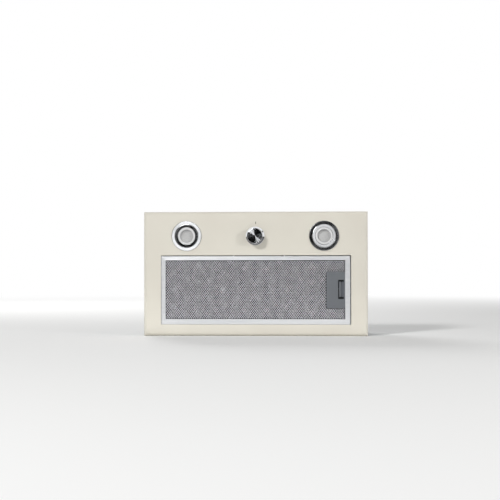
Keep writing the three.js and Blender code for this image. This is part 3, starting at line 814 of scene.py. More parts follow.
lamp_holes = [drill(centre, LAMP_HOLE) for centre in LAMPS.values()]
opening = block("opening", OPENING_LOW + Vector((0, FRONT - 5 * MM, 0)),
                OPENING_HIGH + Vector((0, FRONT + 5 * MM, 0)))
strips = [
    fold_strip(OPENING_LOW.x, OPENING_HIGH.x + SHEET, OPENING_HIGH.z, OPENING_HIGH.z + SHEET),
    fold_strip(OPENING_LOW.x, OPENING_HIGH.x + SHEET, OPENING_LOW.z - SHEET, OPENING_LOW.z),
    fold_strip(OPENING_HIGH.x, OPENING_HIGH.x + SHEET, OPENING_LOW.z, OPENING_HIGH.z),
]
carve(panel, opening, *lamp_holes, drill(KNOB, KNOB_HOLE, facets=48))
carve(panel, *strips, operation="UNION")
soften(panel, HOLE_EDGE, steps=2, angle=40)
dress(panel, "hood", "enamel", enamel, "face_panel", smooth=35)

# %% [markdown]
# The index mark above the knob is one printed stroke. It could be a mask in the enamel, but a piece of its
# own keeps a clean outline at any distance: a very thin block with soft edges, let into the coating.

# %% Index mark
mark_low = Vector((KNOB.x + 0.4 * MM, FRONT - 0.08 * MM, KNOB.z + 27.4 * MM))
mark = block("index_mark", mark_low, mark_low + Vector((1.5 * MM, 0.12 * MM, 5.6 * MM)))
soften(mark, 0.5 * MM, steps=3, angle=40)
dress(mark, "hood", "enamel", ink)

# %% [markdown]
# ## Filter frame
#
# The frame is a thin aluminium channel bent round the mesh pack, mitred at its corners. Its face leans a
# little outwards, so each side catches a different light. It is drawn loop by loop around the rectangle,
# with the edge at the window hemmed back. The mitres are then scored, and a slot lets the tongue through.

# %% Frame channel
BANDS = {"left": 10.0 * MM, "right": 10.3 * MM, "bottom": 12.5 * MM, "top": 10.0 * MM}
FRAME_SHEET, FACE_LEAN, HEM = 0.7 * MM, 0.9 * MM, 2.7 * MM
SLACK_RIGHT, SLACK_TOP = -1.5 * MM, 0.6 * MM


def frame_loop(share, inset, y):
    """A loop between the frame's outline, share 0, and its window, share 1, then drawn in by an inset."""
    right, top = frame_high.x - SLACK_RIGHT, frame_high.z - SLACK_TOP
    return (frame_low.x + share * BANDS["left"] + inset,
            right - share * (BANDS["right"] - SLACK_RIGHT) - inset,
            frame_low.z + share * BANDS["bottom"] + inset,
            top - share * (BANDS["top"] - SLACK_TOP) - inset, y)


face_y, back_y = frame_low.y, frame_high.y
frame_piece = swept("filter_channel", [
    frame_loop(0, 0, face_y + FACE_LEAN),
    frame_loop(1, 0, face_y),
    frame_loop(1, 0, face_y + HEM),
    frame_loop(1, -FRAME_SHEET, face_y + HEM),
    frame_loop(1, -FRAME_SHEET, face_y + FRAME_SHEET),
    frame_loop(0, FRAME_SHEET, face_y + FRAME_SHEET + FACE_LEAN),
    frame_loop(0, FRAME_SHEET, back_y - FRAME_SHEET),
    frame_loop(1, 0, back_y - FRAME_SHEET),
    frame_loop(1, 0, back_y),
    frame_loop(0, 0, back_y),
])
tongue_low, tongue_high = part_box("latch_slider")
TONGUE_GAP = 0.4 * MM
tongue_slot = block(
    "tongue_slot",
    (frame_high.x - 2 * MM, tongue_high.y - 1.2 * MM - TONGUE_GAP, tongue_low.z + 2 * MM - TONGUE_GAP),
    (frame_high.x + 3 * MM, tongue_high.y + TONGUE_GAP, tongue_high.z - 2 * MM + TONGUE_GAP))
carve(frame_piece, tongue_slot)


def score(side_x, side_z):
    """A fine cutter laid in the face along one corner's mitre, from the outline to the window."""
    loops = frame_loop(0, 0, face_y + FACE_LEAN), frame_loop(1, 0, face_y)
    start, end = [Vector((loop[side_x], loop[4] - 0.05 * MM, loop[side_z])) for loop in loops]
    run = end - start
    clear()
    bpy.ops.mesh.primitive_cube_add(
        size=1, location=(start + end) / 2, rotation=(0, -math.atan2(run.z, run.x), 0))
    return settled("score", (run.length, 0.5 * MM, 0.18 * MM))


carve(frame_piece, *[score(side_x, side_z) for side_x in (0, 1) for side_z in (2, 3)])
soften(frame_piece, 0.25 * MM, steps=2, angle=40)
dress(frame_piece, "filter", "aluminium", aluminium, "filter_frame", smooth=1)

# %% [markdown]
# ## Mesh
#
# The grease mesh is expanded aluminium: a foil is slit and pulled, so that its strands form staggered
# diamonds and each strand leans. A flat sheet with holes in its alpha would be quicker, but its strands
# would have neither lean nor thickness. So one diamond is modelled and repeated by arrays. Five such nets
# lie on each other, each with its own pitch, so that the eye meets metal everywhere. All but the rear one
# stop at the latch, whose pocket takes the place of the mesh.

# %% Diamonds
PITCH, ROWS, FOIL = 5.07 * MM, 6.4 * MM, 0.22 * MM
POCKET_LEFT, POCKET_LOW, POCKET_HIGH = 6.6 * MM, 13.0 * MM, 9.6 * MM
plate_low, plate_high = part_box("latch_plate")


def diamond(name, width, height, strand, lean):
    """One diamond of strands in the XZ plane: its lower inner corner comes forward, its upper goes back."""
    clear()
    bpy.ops.mesh.primitive_circle_add(
        vertices=4, radius=0.5, fill_type="NGON", rotation=(math.pi / 2, 0, 0))
    cell = settled(name, (width, height, 1))
    bpy.ops.object.mode_set(mode="EDIT")
    bpy.ops.mesh.select_all(action="SELECT")
    bpy.ops.mesh.inset(thickness=strand / 2, use_even_offset=True)
    bpy.ops.mesh.delete(type="FACE")
    inside = height / 2 - SAME
    for side in (-1, 1):
        pick(cell, "VERT", lambda place, _: abs(place.x) < SAME and 0 < side * place.z < inside)
        bpy.ops.transform.translate(value=(0, side * lean, 0))
    return modify(cell, "SOLIDIFY", thickness=FOIL, offset=0)


def behind_latch(place):
    """True where the latch's pocket takes the place of the mesh."""
    return (place.x > plate_low.x + POCKET_LEFT
            and plate_low.z + POCKET_LOW < place.z < plate_high.z - POCKET_HIGH)


print("diamonds of", round(PITCH / MM, 2), "by", round(ROWS / MM, 2), "mm")

# %% Nets
UNDER_FRAME = 3 * MM


def net(name, wide, tall, strand, lean, y, pocket=True):
    """A whole layer: the diamond in two staggered sets that fill the window and go under the frame.

    Wide and tall are its diamonds' size against the front net's. With a pocket, it stops at the latch.
    """
    left, right, low, high, _ = frame_loop(1, 0, 0)
    width, height = PITCH * wide, ROWS * tall
    columns = int((right - left + UNDER_FRAME) / width) + 1
    rows = int((high - low + UNDER_FRAME) / height) + 1
    cell = diamond(name, width, height, strand, lean)
    first = ((left + right) / 2 - (columns - 0.5) * width / 2, y,
             (low + high) / 2 - (rows - 0.5) * height / 2)
    cell.data.transform(Matrix.Translation(first))
    for count, step in ((2, (width / 2, 0, height / 2)), (columns, (width, 0, 0)), (rows, (0, 0, height))):
        modify(cell, "ARRAY", count=count, use_relative_offset=False, use_constant_offset=True,
               constant_offset_displace=step)
    pick(cell, "VERT", lambda place, _: pocket and behind_latch(place))
    bpy.ops.mesh.delete(type="VERT")
    bpy.ops.mesh.select_all(action="SELECT")
    bpy.ops.mesh.remove_doubles(threshold=2 * SAME)
    clear()
    return cell


front_net = net("mesh_front", 1, 1, 0.82 * MM, 0.38 * MM, behind(4.2))
dress(front_net, "filter", "mesh", mesh_metal, "filter_mesh_front", smooth=10)
# The three core nets take the darker mesh finish: painted shade.
core_nets = [net(f"core_{i}", wide, tall, 1.5 * MM, 0.3 * MM, behind(5.2 + 0.9 * i))
             for i, (wide, tall) in enumerate([(1.27, 1.18), (1.45, 1.4), (1.21, 1.5)])]
dress(joined(*core_nets), "filter", "mesh", shaded_core_mesh, "filter_mesh_core", smooth=10)
rear_net = net("mesh_rear", 1.1, 1.1, 1.3 * MM, 0.1 * MM, middle_of("filter_mesh_rear").y, pocket=False)
dress(rear_net, "filter", "mesh", mesh_metal, "filter_mesh_rear", smooth=10)

# %% [markdown]
# A black strip lies between the mesh and the frame, and its edge shows as a thin dark line around the
# window: painted shadow under the frame's edge, widest at the top. It is one swept section, as the frame
# is, whose edge stands in by its own amount on each of the four sides.

# %% Painted shadow line around the mesh
SHADOW_LINE = {"left": 0.7, "right": 1.2, "low": 0.6, "high": 1.7}
SHADOW_STRIP_FRONT, SHADOW_STRIP_BACK, SHADOW_STRIP_HIDDEN = 2.95, 3.5, 2.2


def shadow_strip_loop(share, y):
    """The shadow strip's edge under the frame, share 0, or in the window, share 1, where its four sides
    differ.
    """
    left, right, low, high, _ = frame_loop(1, (share - 1) * SHADOW_STRIP_HIDDEN * MM, 0)
    return (left + share * SHADOW_LINE["left"] * MM, right - share * SHADOW_LINE["right"] * MM,
            low + share * SHADOW_LINE["low"] * MM, high - share * SHADOW_LINE["high"] * MM, behind(y))


# The strip's dark edge is painted shadow around the window.
shadow_strip = swept("mesh_shadow_strip", [shadow_strip_loop(0, SHADOW_STRIP_FRONT), shadow_strip_loop(1, SHADOW_STRIP_FRONT),
                           shadow_strip_loop(1, SHADOW_STRIP_BACK), shadow_strip_loop(0, SHADOW_STRIP_BACK)])
soften(shadow_strip, 0.15 * MM)
dress(shadow_strip, "filter", "black_plastic", black_plastic)

# %% [markdown]
# ## Latch
#
# A finger latch at the right end holds the filter: a moulded plate with a pocket behind it, in which a
# slider runs against a small spring. The plate lies on a black base that peeks out along two of its sides
# as a thin dark line: painted shadow beside the plate. A flat black sheet on the pocket's floor behind the
# slider is painted shade in the pocket.

# %% Latch plate
CASE_LEFT, CASE_RIGHT, CASE_LOW, CASE_HIGH = 172, 206.1, 78, 138
CASE_WALL, CASE_GAP, SHADE_SHEET_GAP = 1.2, 0.1, 0.2
HOLLOW_LEFT, HOLLOW_RIGHT = CASE_LEFT + CASE_WALL, CASE_RIGHT + 1
HOLLOW_LOW, HOLLOW_HIGH = CASE_LOW + CASE_WALL, CASE_HIGH - CASE_WALL
cover_end = plate_high.x + 1.2 * MM
latch_cover = round_block("latch_cover", plate_low, (cover_end, plate_low.y + MM, plate_high.z), 1.0 * MM)
pocket = round_block("pocket", at(CASE_LEFT, 1.4, CASE_LOW), at(CASE_RIGHT, 7.6, CASE_HIGH),
                     1.0 * MM, axis=0)
pocket_hollow = round_block("pocket_hollow", at(HOLLOW_LEFT, 1.9, HOLLOW_LOW),
                            at(HOLLOW_RIGHT, 6.6, HOLLOW_HIGH), 0.6 * MM, axis=0)
finger_slot = round_block("finger_slot", at(191.5, 0, 85.5), at(204.6, 3, 129.9), 1.2 * MM)
carve(latch_cover, pocket, operation="UNION")
carve(latch_cover, pocket_hollow, finger_slot)
soften(latch_cover, 0.2 * MM)
dress(latch_cover, "filter", "latch_plastic", latch_plastic, "latch_plate")
# Painted shadow: a black base that peeks out beside the cover's left and bottom edges, and a black sheet
# that darkens the pocket's floor.
latch_shadow_base = round_block("latch_shadow_base", plate_low + Vector((-0.9, 0.8, -0.9)) * MM,
                         (cover_end, behind(3.6), plate_high.z), 1.0 * MM)
carve(latch_shadow_base, block("way", at(CASE_LEFT - CASE_GAP, 0, CASE_LOW - CASE_GAP),
                        at(215, 9, CASE_HIGH + CASE_GAP)))
pocket_shade_sheet = block("latch_pocket_shade", at(HOLLOW_LEFT + SHADE_SHEET_GAP, 6.35, HOLLOW_LOW + SHADE_SHEET_GAP),
              at(HOLLOW_RIGHT - SHADE_SHEET_GAP, 6.58, HOLLOW_HIGH - SHADE_SHEET_GAP))
dress(joined(latch_shadow_base, pocket_shade_sheet), "filter", "latch_plastic", black_plastic)

# %% [markdown]
# The slider has an upright lip for the fingertip and beside it a scoop, a wedge that is deepest at the lip,
# with three ribs for grip. The scoop is a darker copy of the lip's plastic: painted shade in the recess
# beside the lip. Its tongue runs out to the opening's fold, with a slanted nose so that it snaps in.

# %% Latch slider
SCOOP = 1.7 * MM
LIP_Z = (90, 125.6)
SCOOP_LEFT, SCOOP_RIGHT, SCOOP_SHALLOW = 198.9, 206, 3.6


def scoop(x):
    """How far back the scoop's floor lies, in millimetres, at a place across."""
    return SCOOP_SHALLOW + SCOOP / MM * (SCOOP_RIGHT - x) / (SCOOP_RIGHT - SCOOP_LEFT)


lip = round_block("slider_lip", at(193.6, 2.2, LIP_Z[0]), at(197.6, 6.2, LIP_Z[1]), 1.2 * MM, axis=2)
tongue = round_block("tongue", at(196, 5.3, 92), at(220.9, 6.2, 124), 0.8 * MM)
carve(lip, tongue, operation="UNION")
pick(lip, "EDGE", lambda place, run:
     abs(run.z) > ALONG and place.x > 219 * MM and place.y < behind(5.1))
bpy.ops.mesh.bevel(offset=0.7 * MM, segments=2, affect="EDGES")
soften(lip, 0.12 * MM, steps=1)
dress(lip, "latch", "latch_plastic", latch_plastic, "latch_slider")
pad = block("slider_scoop", at(SCOOP_LEFT, SCOOP_SHALLOW, LIP_Z[0]), at(SCOOP_RIGHT, 6.2, LIP_Z[1]))
pick(pad, "VERT", lambda place, _: place.x < 199 * MM and place.y < behind(5))
bpy.ops.transform.translate(value=(0, SCOOP, 0))
ribs = [round_block("rib", at(x, scoop(x) - 0.25, 93), at(x + 0.8, scoop(x) + 0.6, 122.6), 0.3 * MM, axis=2)
        for x in (200.6, 202.3, 204.0)]
carve(pad, *ribs, operation="UNION")
soften(pad, 0.12 * MM, steps=1)
# The scoop takes the darker copy of the latch plastic: painted shade.
dress(pad, "latch", "latch_plastic", scoop_shade_plastic)

# %% [markdown]
# The spring is one ring of wire, screwed along its axis. A curve with a bevel could draw it too, but the
# Screw modifier needs no list of points. The wire's two ends are then filled. It shortens as the slider
# moves.

# %% Latch spring
def coil(name, start, length, radius, wire, turns):
    """A spring of round wire along X, whose two ends are filled."""
    clear()
    bpy.ops.mesh.primitive_circle_add(
        vertices=8, radius=wire, location=(wire, 0, radius - wire), rotation=(math.pi / 2, 0, 0))
    spring = settled(name)
    modify(spring, "SCREW", axis="X", angle=2 * math.pi, iterations=turns, steps=14, render_steps=14,
           screw_offset=(length - 2 * wire) / turns, use_normal_calculate=True)
    bpy.ops.object.mode_set(mode="EDIT")
    bpy.ops.mesh.select_all(action="SELECT")
    bpy.ops.mesh.fill_holes(sides=8)
    bpy.ops.mesh.select_all(action="SELECT")
    bpy.ops.mesh.normals_make_consistent(inside=False)
    clear()
    spring.data.transform(Matrix.Translation(start))
    return spring


SLIDE, SPRING_WIRE = 5 * MM, 0.35 * MM
spring_low, spring_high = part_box("latch_spring")
spring_middle = middle_of("latch_spring")
latch_coil = coil("latch_coil", (spring_low.x, spring_middle.y, spring_middle.z),
                  spring_high.x - spring_low.x, (spring_high.z - spring_low.z) / 2, SPRING_WIRE, 9)
dress(latch_coil, "filter", "spring_steel", spring_steel, "latch_spring")
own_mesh(latch_coil)

# %% [markdown]
# ## Lamps
#
# Each lamp is a polished bezel, a polished ring inside it that leans in by a little over a degree, a lens
# and a board of diodes in a can. Both rings are flat bands, so each shows one thing in front of it: the
# lean of the inner one is what makes it dark where the bezel is bright. The lens is a deep cup whose clear
# bottom lies just before the diodes. All but the diodes are turned pieces.

# %% Lamp finishes
CLEAR_REACH, CLEAR_EDGE = 14.6 * MM, 0.6 * MM


def moulded_lens():
    """Moulded plastic: the bottom is clear, with small pillows that blur the diodes, and the rim isn't."""
    finish = Finish("lamp lens", roughness=0.16)
    tree, centre = finish.tree, LAMPS["right"]
    finish.tint(finish.effect(HAZE)["Haze"], (224, 224, 224), (215, 215, 216))
    pillows = node(tree, "TexVoronoi", in_Vector=finish.place, in_Scale=420,
                   in_Randomness=0.25).outputs["Distance"]
    split = node(tree, "SeparateXYZ", in_0=finish.place)
    either_side = node(tree, "Math", operation="ABSOLUTE", in_0=split.outputs["X"])
    from_centre = node(tree, "Math", operation="SUBTRACT", in_0=either_side.outputs[0], in_1=centre.x)
    around = node(tree, "CombineXYZ", in_X=from_centre.outputs[0], in_Z=split.outputs["Z"])
    reach = node(tree, "VectorMath", operation="DISTANCE", in_0=around.outputs[0], in_1=(0, 0, centre.z))
    rim = ramp(tree, reach.outputs["Value"], CLEAR_REACH, CLEAR_REACH + CLEAR_EDGE)
    clear_part = node(tree, "Math", operation="SUBTRACT", in_0=1, in_1=rim)
    relief = node(tree, "Math", operation="MULTIPLY", in_0=pillows, in_1=clear_part.outputs[0])
    finish.bump(relief.outputs[0], 0.00025, 0.6)
    cover = node(tree, "Math", operation="MAXIMUM", in_0=ramp(tree, pillows, 0.1, 0.6, 0.3, 0.6), in_1=rim)
    finish.feed("Alpha", cover.outputs[0])
    return finish.material


lens_plastic = moulded_lens()
print("finish", lens_plastic.name)

# %% Lamp pieces
DIODE_STEP, DIODE_SIZE = 8.8, 3.0


def lamp(side, centre):
    """Bezel, inner ring, lens, board with diodes, and can."""
    bezel = turned(f"bezel_{side}", centre, [
        (27.5, 7), (27.5, -1.9), (27.6, -2.12), (27.8, -2.2), (34.1, -2.2), (34.5, -2.1), (34.7, -1.9),
        (34.8, -1.6), (34.8, -0.3), (29.3, -0.3), (29.3, 7)])
    dress(bezel, "hood", "chrome", chrome, f"lamp_bezel_{side}", smooth=20)
    inner_ring = turned(f"inner_ring_{side}", centre, [
        (20.3, -1.1), (20.5, -1.37), (20.8, -1.45), (26.6, -1.582), (27.0, -1.53), (27.2, -1.35),
        (27.2, 6.6), (25.7, 6.6), (25.7, 0), (20.3, 0)])
    dress(inner_ring, "hood", "chrome", chrome, f"lamp_ring_{side}", smooth=20)
    lens = turned(f"lens_{side}", centre, [
        (0, 5.1), (14.3, 5.1), (14.9, 4.8), (15.2, 4.2), (15.5, -0.7), (15.8, -1.15), (16.3, -1.3),
        (19.5, -1.3), (20, -0.9), (20, 0.2), (16.8, 0.4), (16.3, 5.2), (15.7, 5.8), (0, 5.8)])
    dress(lens, "hood", "lens", lens_plastic, f"lamp_lens_{side}")
    board = turned(f"board_{side}", centre, [
        (0, 8), (23.8, 8), (24, 8.2), (24, 9.4), (23.8, 9.6), (0, 9.6)])
    dress(board, "hood", "board", board_mask, f"lamp_board_{side}")
    corner, height = Vector((DIODE_SIZE / 2, 0, DIODE_SIZE / 2)) * MM, Vector((0, 0.8 * MM, 0))
    spots = [centre + Vector((column * DIODE_STEP, 8, row * DIODE_STEP)) * MM
             for column in (-1, 0, 1) for row in (-1, 0, 1)]
    diodes = [soften(block(f"diode_{side}", spot - corner - height, spot + corner), 0.3 * MM)
              for spot in spots]
    dress(joined(*diodes), "hood", "board", phosphor)
    can = turned(f"can_{side}", centre, [
        (0, 35), (27.4, 35), (27.9, 34.5), (27.9, 7.3), (29, 7.3), (29, 10), (28.6, 10.6), (28.6, 13.4),
        (29, 14), (29, 34.6), (28.4, 35.6), (27.4, 36), (6, 36), (5, 35.4), (0, 35.4)])
    dress(can, "hood", "aluminium", aluminium, f"lamp_can_{side}")


for side, centre in LAMPS.items():
    lamp(side, centre)

# %% [markdown]
# ## Selector knob
#
# The knob is a turned body with a spun disc let into its face, over a polished skirt on the panel. The
# spinning leaves fine rings, which throw light out to the sides of each point: that is the fan of light
# and dark that such a face always shows.

# %% Knob finishes
def spun_face():
    """Spun metal: rings around the knob's middle, and gloss that is stretched across them."""
    finish = Finish("spun metal", metallic=1, roughness=0.12)
    rings = node(finish.tree, "TexWave", wave_type="RINGS", rings_direction="Y", in_Scale=420,
                 in_Vector=finish.mapped(in_Location=-KNOB), in_Distortion=1.5, in_Detail=2).outputs["Fac"]
    finish.tint(rings, (226, 227, 230), (206, 208, 212))
    finish.bump(rings, 0.00001, 0.3)
    finish.shader.inputs["Anisotropic"].default_value = 1
    finish.shader.inputs["Anisotropic Rotation"].default_value = 0.25
    finish.feed("Tangent", node(finish.tree, "Tangent", direction_type="RADIAL", axis="Y").outputs[0])
    return finish.material


spun_metal = spun_face()
print("finish", spun_metal.name)

# %% Knob pieces
knob = turned("knob", KNOB, [
    (0, -16.4), (3.2, -16.4), (3.2, -5), (8, -5), (8, -15), (15.8, -15), (15.8, -4.8), (18.2, -4.8),
    (18.4, -5.1), (18.05, -18.9), (17.9, -19.4), (17.6, -19.7), (17.3, -19.6), (17.3, -18.6), (0, -18.6)])
dress(knob, "knob", "chrome", chrome, "knob_body")
disc = turned("knob_disc", KNOB, [
    (0, -19.98), (1.2, -19.97), (16.4, -19.93), (16.9, -19.85), (17.2, -19.5), (17.2, -18.9), (0, -18.9)])
dress(disc, "knob", "spun_metal", spun_metal, "knob_cap")
skirt = turned("knob_skirt_ring", KNOB, [
    (10, -0.3), (10, -2.6), (10.4, -3), (18.6, -3), (21.2, -1.8), (21.8, -1.3), (22, -0.8), (22, -0.3)])
dress(skirt, "hood", "chrome", chrome, "knob_skirt")

# %% [markdown]
# ## Housing
#
# The box behind the panel is folded from galvanised sheet: two long walls with flanges and end tabs, two
# end walls and a top plate. Each wall starts as one plane. Its field is pressed in with two insets, its
# edges are extruded into flanges, and only then does it get its thickness and its bends. The top plate is
# a flat sheet, pierced for the outlet and the gland, with raised beads and its four edges folded down.

# %% Sheet helpers
TURNS = [(0, math.pi / 2, 0), (math.pi / 2, 0, 0), (0, 0, 0)]


def flat_sheet(name, low, high):
    """A plane that fills a box which is flat along one axis."""
    clear()
    low, high = Vector(low), Vector(high)
    size = high - low
    thin = min(range(3), key=lambda axis: size[axis])
    bpy.ops.mesh.primitive_plane_add(size=1, location=(low + high) / 2, rotation=TURNS[thin])
    return settled(name, [(size.z, size.y, 1), (size.x, size.z, 1), (size.x, size.y, 1)][thin])


def press(piece, margin, corner, slope, push):
    """Presses a field with round corners into a plane: an inset, rounded corners, then a sloped step."""
    pick(piece, "FACE", lambda place, out: True)
    bpy.ops.mesh.inset(thickness=margin)
    bpy.ops.mesh.bevel(offset=corner, segments=4, affect="VERTICES")
    middle = sum((v.co for v in piece.data.vertices), Vector()) / len(piece.data.vertices)
    pick(piece, "FACE", lambda place, out: (place - middle).length < SAME)
    bpy.ops.mesh.inset(thickness=slope)
    bpy.ops.transform.translate(value=push)
    clear()


def flange(piece, keep, push, mitre=1.0):
    """Extrudes the picked edges into a flange, whose free edge can be drawn in for its mitres."""
    pick(piece, "EDGE", keep)
    bpy.ops.mesh.extrude_edges_move(TRANSFORM_OT_translate={"value": push})
    if mitre != 1:
        bpy.ops.transform.resize(value=[1 if step else mitre for step in push])
    clear()

# %% Walls
WALL = 0.8 * MM
END_TAB, FRONT_FLANGE, MITRE = 12 * MM, 10 * MM, 0.95


def folded_wall(name, node_name, axis, inward, tabs):
    """One wall of the box: a pressed field, a front flange and, on a long wall, two end tabs."""
    low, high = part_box(node_name)
    start, end = low.copy(), high.copy()
    start[axis] = end[axis] = low[axis] if inward > 0 else high[axis]
    inwards = Vector([inward if i == axis else 0 for i in range(3)])
    wall = flat_sheet(name, start, end)
    press(wall, margin=26 * MM, corner=12 * MM, slope=4 * MM, push=inwards * 2 * MM)
    flange(wall, lambda place, run: abs(place.y - low.y) < SAME, inwards * FRONT_FLANGE, MITRE)
    for x in (low.x, high.x) if tabs else ():
        flange(wall, lambda place, run: abs(place.x - x) < SAME and abs(run.y) > ALONG,
               inwards * END_TAB, MITRE)
    soften(thicken(wall, WALL, inward), 0.2 * MM, angle=60)
    dress(wall, "hood", "galvanised", galvanised, node_name)


folded_wall("rear_wall", "housing_rear_wall", 2, 1, True)
folded_wall("front_wall", "housing_front_wall", 2, -1, True)
folded_wall("left_wall", "housing_left_wall", 0, 1, False)
folded_wall("right_wall", "housing_right_wall", 0, -1, False)

# %% Top plate
top_low, top_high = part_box("housing_top_plate")
OUTLET_Z, GLAND_X = 150, -180
OUTLET_HOLE, GLAND_HOLE = 72 * MM, 9.3 * MM
top = block("top_plate", (top_low.x, top_high.y - WALL, top_low.z), top_high)
carve(top, drill(at(0, 165, OUTLET_Z), OUTLET_HOLE, facets=128),
      drill(at(GLAND_X, 165, OUTLET_Z), GLAND_HOLE, facets=48))
beads = [round_block("bead", at(x, 164.6, z - 4), at(x + 130, 166.6, z + 4), 3.9 * MM)
         for x in (-236, 106) for z in (36, 252)]
folds = [block("fold", at(-243.5, 153.2, z), at(243.5, 164.6, z + 0.8)) for z in (15.1, 272.1)]
folds += [block("fold", at(x, 153.2, 16.5), at(x + 0.8, 164.6, 271.5)) for x in (-244.8, 244.0)]
carve(top, *beads, *folds, operation="UNION")
soften(top, 0.3 * MM, angle=50)
dress(top, "hood", "galvanised", galvanised, "housing_top_plate")

# %% [markdown]
# All the screws are one pan-head screw. No thread shows once it is driven in, so it is a plain turned body
# with a cross recess. It is made once and copied, each time turned towards the side that its seat faces.

# %% Screws
def screw_pattern():
    """A pan-head screw along +Y, with its head's seat at the origin and a cross recess."""
    screw = turned("screw_pattern", (0, 0, 0), [
        (0, -5), (1.1, -4.2), (1.6, -3.4), (1.6, 0), (3.4, 0), (3.4, 0.8), (3.1, 1.3), (2.4, 1.75),
        (1.4, 1.95), (0, 2)], facets=24)
    cross = [block("cross", (-x * MM, 1.1 * MM, -z * MM), (x * MM, 3 * MM, z * MM))
             for x, z in ((1.9, 0.35), (0.35, 1.9))]
    return carve(screw, *cross)


def set_in(pattern, name, spot, toward):
    """A copy of a pattern, turned from +Y to a direction and set at a spot."""
    turn = Vector((0, 1, 0)).rotation_difference(Vector(toward)).to_matrix().to_4x4()
    return copied(pattern, name, Matrix.Translation(spot) @ turn)


pan_screw = screw_pattern()
wall_screws = [
    set_in(pan_screw, "wall_screws", at(side * 247, y, z), (side, 0, 0))
    for side in (-1, 1) for y in (32, 84, 136) for z in (20.5, 267.5)]
dress(joined(*wall_screws), "hood", "steel", steel)
for i in range(1, 5):
    seat = middle_of(f"outlet_screw_{i}")
    seat.y = behind(167.3)
    collar_screw = set_in(pan_screw, f"collar_screw_{i}", seat, (0, 1, 0))
    dress(collar_screw, "hood", "steel", steel, f"outlet_screw_{i}")

# %% [markdown]
# A leaf of spring steel on each end holds the hood in its cut-out. It is one strip: its root lies flat
# under two rivets, and its tip curls in, so that it slides past the edge of the cut-out. It is drawn bend
# by bend from its root's edge, as it is bent on the bench, and only then gets its thickness and its slot.

# %% Leaf springs
LEAF, LEAF_ROOT, LEAF_MIDDLE = 0.8 * MM, 98, 144
LEAF_BENDS = [(8.6, -55), (0.4, -2.5), (-0.4, -1.4), (-1.2, -0.2)]


def leaf_spring(side):
    """A leaf along the housing's end, bent out from its riveted root to a curled tip."""
    name = "left" if side < 0 else "right"
    low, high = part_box(f"side_spring_{name}")
    wall_x = high.x if side < 0 else low.x
    root_y = behind(LEAF_ROOT)
    leaf = flat_sheet(f"leaf_{name}", (wall_x, root_y, low.z), (wall_x, high.y, high.z))
    y = root_y
    for out, back in LEAF_BENDS:
        flange(leaf, lambda place, run: abs(place.y - y) < SAME and abs(run.z) > ALONG,
               Vector((side * out * MM, back * MM, 0)))
        y += back * MM
    thicken(leaf, LEAF, side)
    carve(leaf, round_block("leaf_slot", (wall_x - 20 * MM, behind(58), (LEAF_MIDDLE - 4) * MM),
                            (wall_x + 20 * MM, behind(88), (LEAF_MIDDLE + 4) * MM), 3.9 * MM, axis=0))
    soften(leaf, 0.2 * MM, angle=50)
    rivets = [turned("rivet", Vector((wall_x + side * LEAF, behind(y), LEAF_MIDDLE * MM)), [
        (0, side * 1.3), (1.6, side * 1.1), (2.7, side * 0.6), (3.1, 0), (3.1, side * -0.9),
        (0, side * -0.9)], facets=24, axis="X") for y in (106, 122)]
    dress(joined(leaf, *rivets), "hood", "spring_steel", spring_steel, f"side_spring_{name}")


leaf_spring(-1)
leaf_spring(1)

# %% [markdown]
# ## Outlet
#
# The moulded collar takes a round duct. It is turned on a square flange, with a bead that holds the
# duct's clamp, and gussets that keep it upright: one is shaped and copied round it. Two half-round flaps
# on one pin close it when the fan stands still.

# %% Collar
collar = round_block("collar", at(-88, 165.5, 62), at(88, 167, 238), 5 * MM)
carve(collar, drill(at(0, 166, OUTLET_Z), 73.6 * MM, facets=128))
spigot = turned("spigot", at(0, 0, OUTLET_Z), [
    (73, 165.5), (73, 189.9), (73.5, 190.5), (74.5, 190.5), (75, 190), (75, 186.9), (75.7, 186.5),
    (76, 185.9), (76, 184.1), (75.7, 183.5), (75, 183.1), (75, 165.5)], facets=128)
GUSSETS = 12
gusset = block("gusset", (74.5 * MM, behind(166.5), -0.8 * MM), (83 * MM, behind(176), 0.8 * MM))
pick(gusset, "EDGE", lambda place, run:
     abs(run.z) > ALONG and place.x > 80 * MM and place.y > behind(175))
bpy.ops.mesh.bevel(offset=7.5 * MM, segments=1, affect="EDGES")
clear()
turns = [Matrix.Rotation(math.radians(15 + i * 360 / GUSSETS), 4, "Y") for i in range(GUSSETS)]
gussets = [copied(gusset, "gusset", Matrix.Translation((0, 0, OUTLET_Z * MM)) @ turn) for turn in turns]
bpy.data.objects.remove(gusset)
carve(collar, spigot, *gussets, operation="UNION")
soften(collar, 0.25 * MM, angle=50)
dress(collar, "hood", "black_plastic", black_plastic, "outlet_collar")

# %% [markdown]
# Each flap is half a disc with knuckles that ride on the pin, and the model's own shape is right for it.
# What such a shape needs is merged points, flat faces in one piece and broken edges.

# %% Flaps
def refined(node_name, name, width=0.25 * MM, angle=35):
    """A copy of a plain node whose doubles are merged, flat faces united and sharp edges broken."""
    clear()
    piece = bpy.data.objects.new(name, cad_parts[node_name].data.copy())
    bpy.context.collection.objects.link(piece)
    pick(piece, "VERT", lambda place, _: True)
    bpy.ops.mesh.remove_doubles(threshold=DOUBLES)
    bpy.ops.mesh.dissolve_limited(angle_limit=math.radians(2))
    clear()
    return soften(piece, width, steps=2, angle=angle)


for side in ("left", "right"):
    flap = refined(f"damper_flap_{side}", f"flap_blade_{side}", 0.2 * MM)
    dress(flap, f"flap_{side}", "grey_plastic", grey_plastic, f"damper_flap_{side}")

# %% [markdown]
# ## Small rear parts
#
# The cable gland is a fluted cap on a threaded neck. Its nut, the flaps' pin and most parts inside the
# box keep the model's shapes: their meshes are cleaned and their edges broken. What a mould or a press
# leaves on the larger ones, such as ribs, bosses, slots and screws, is added.

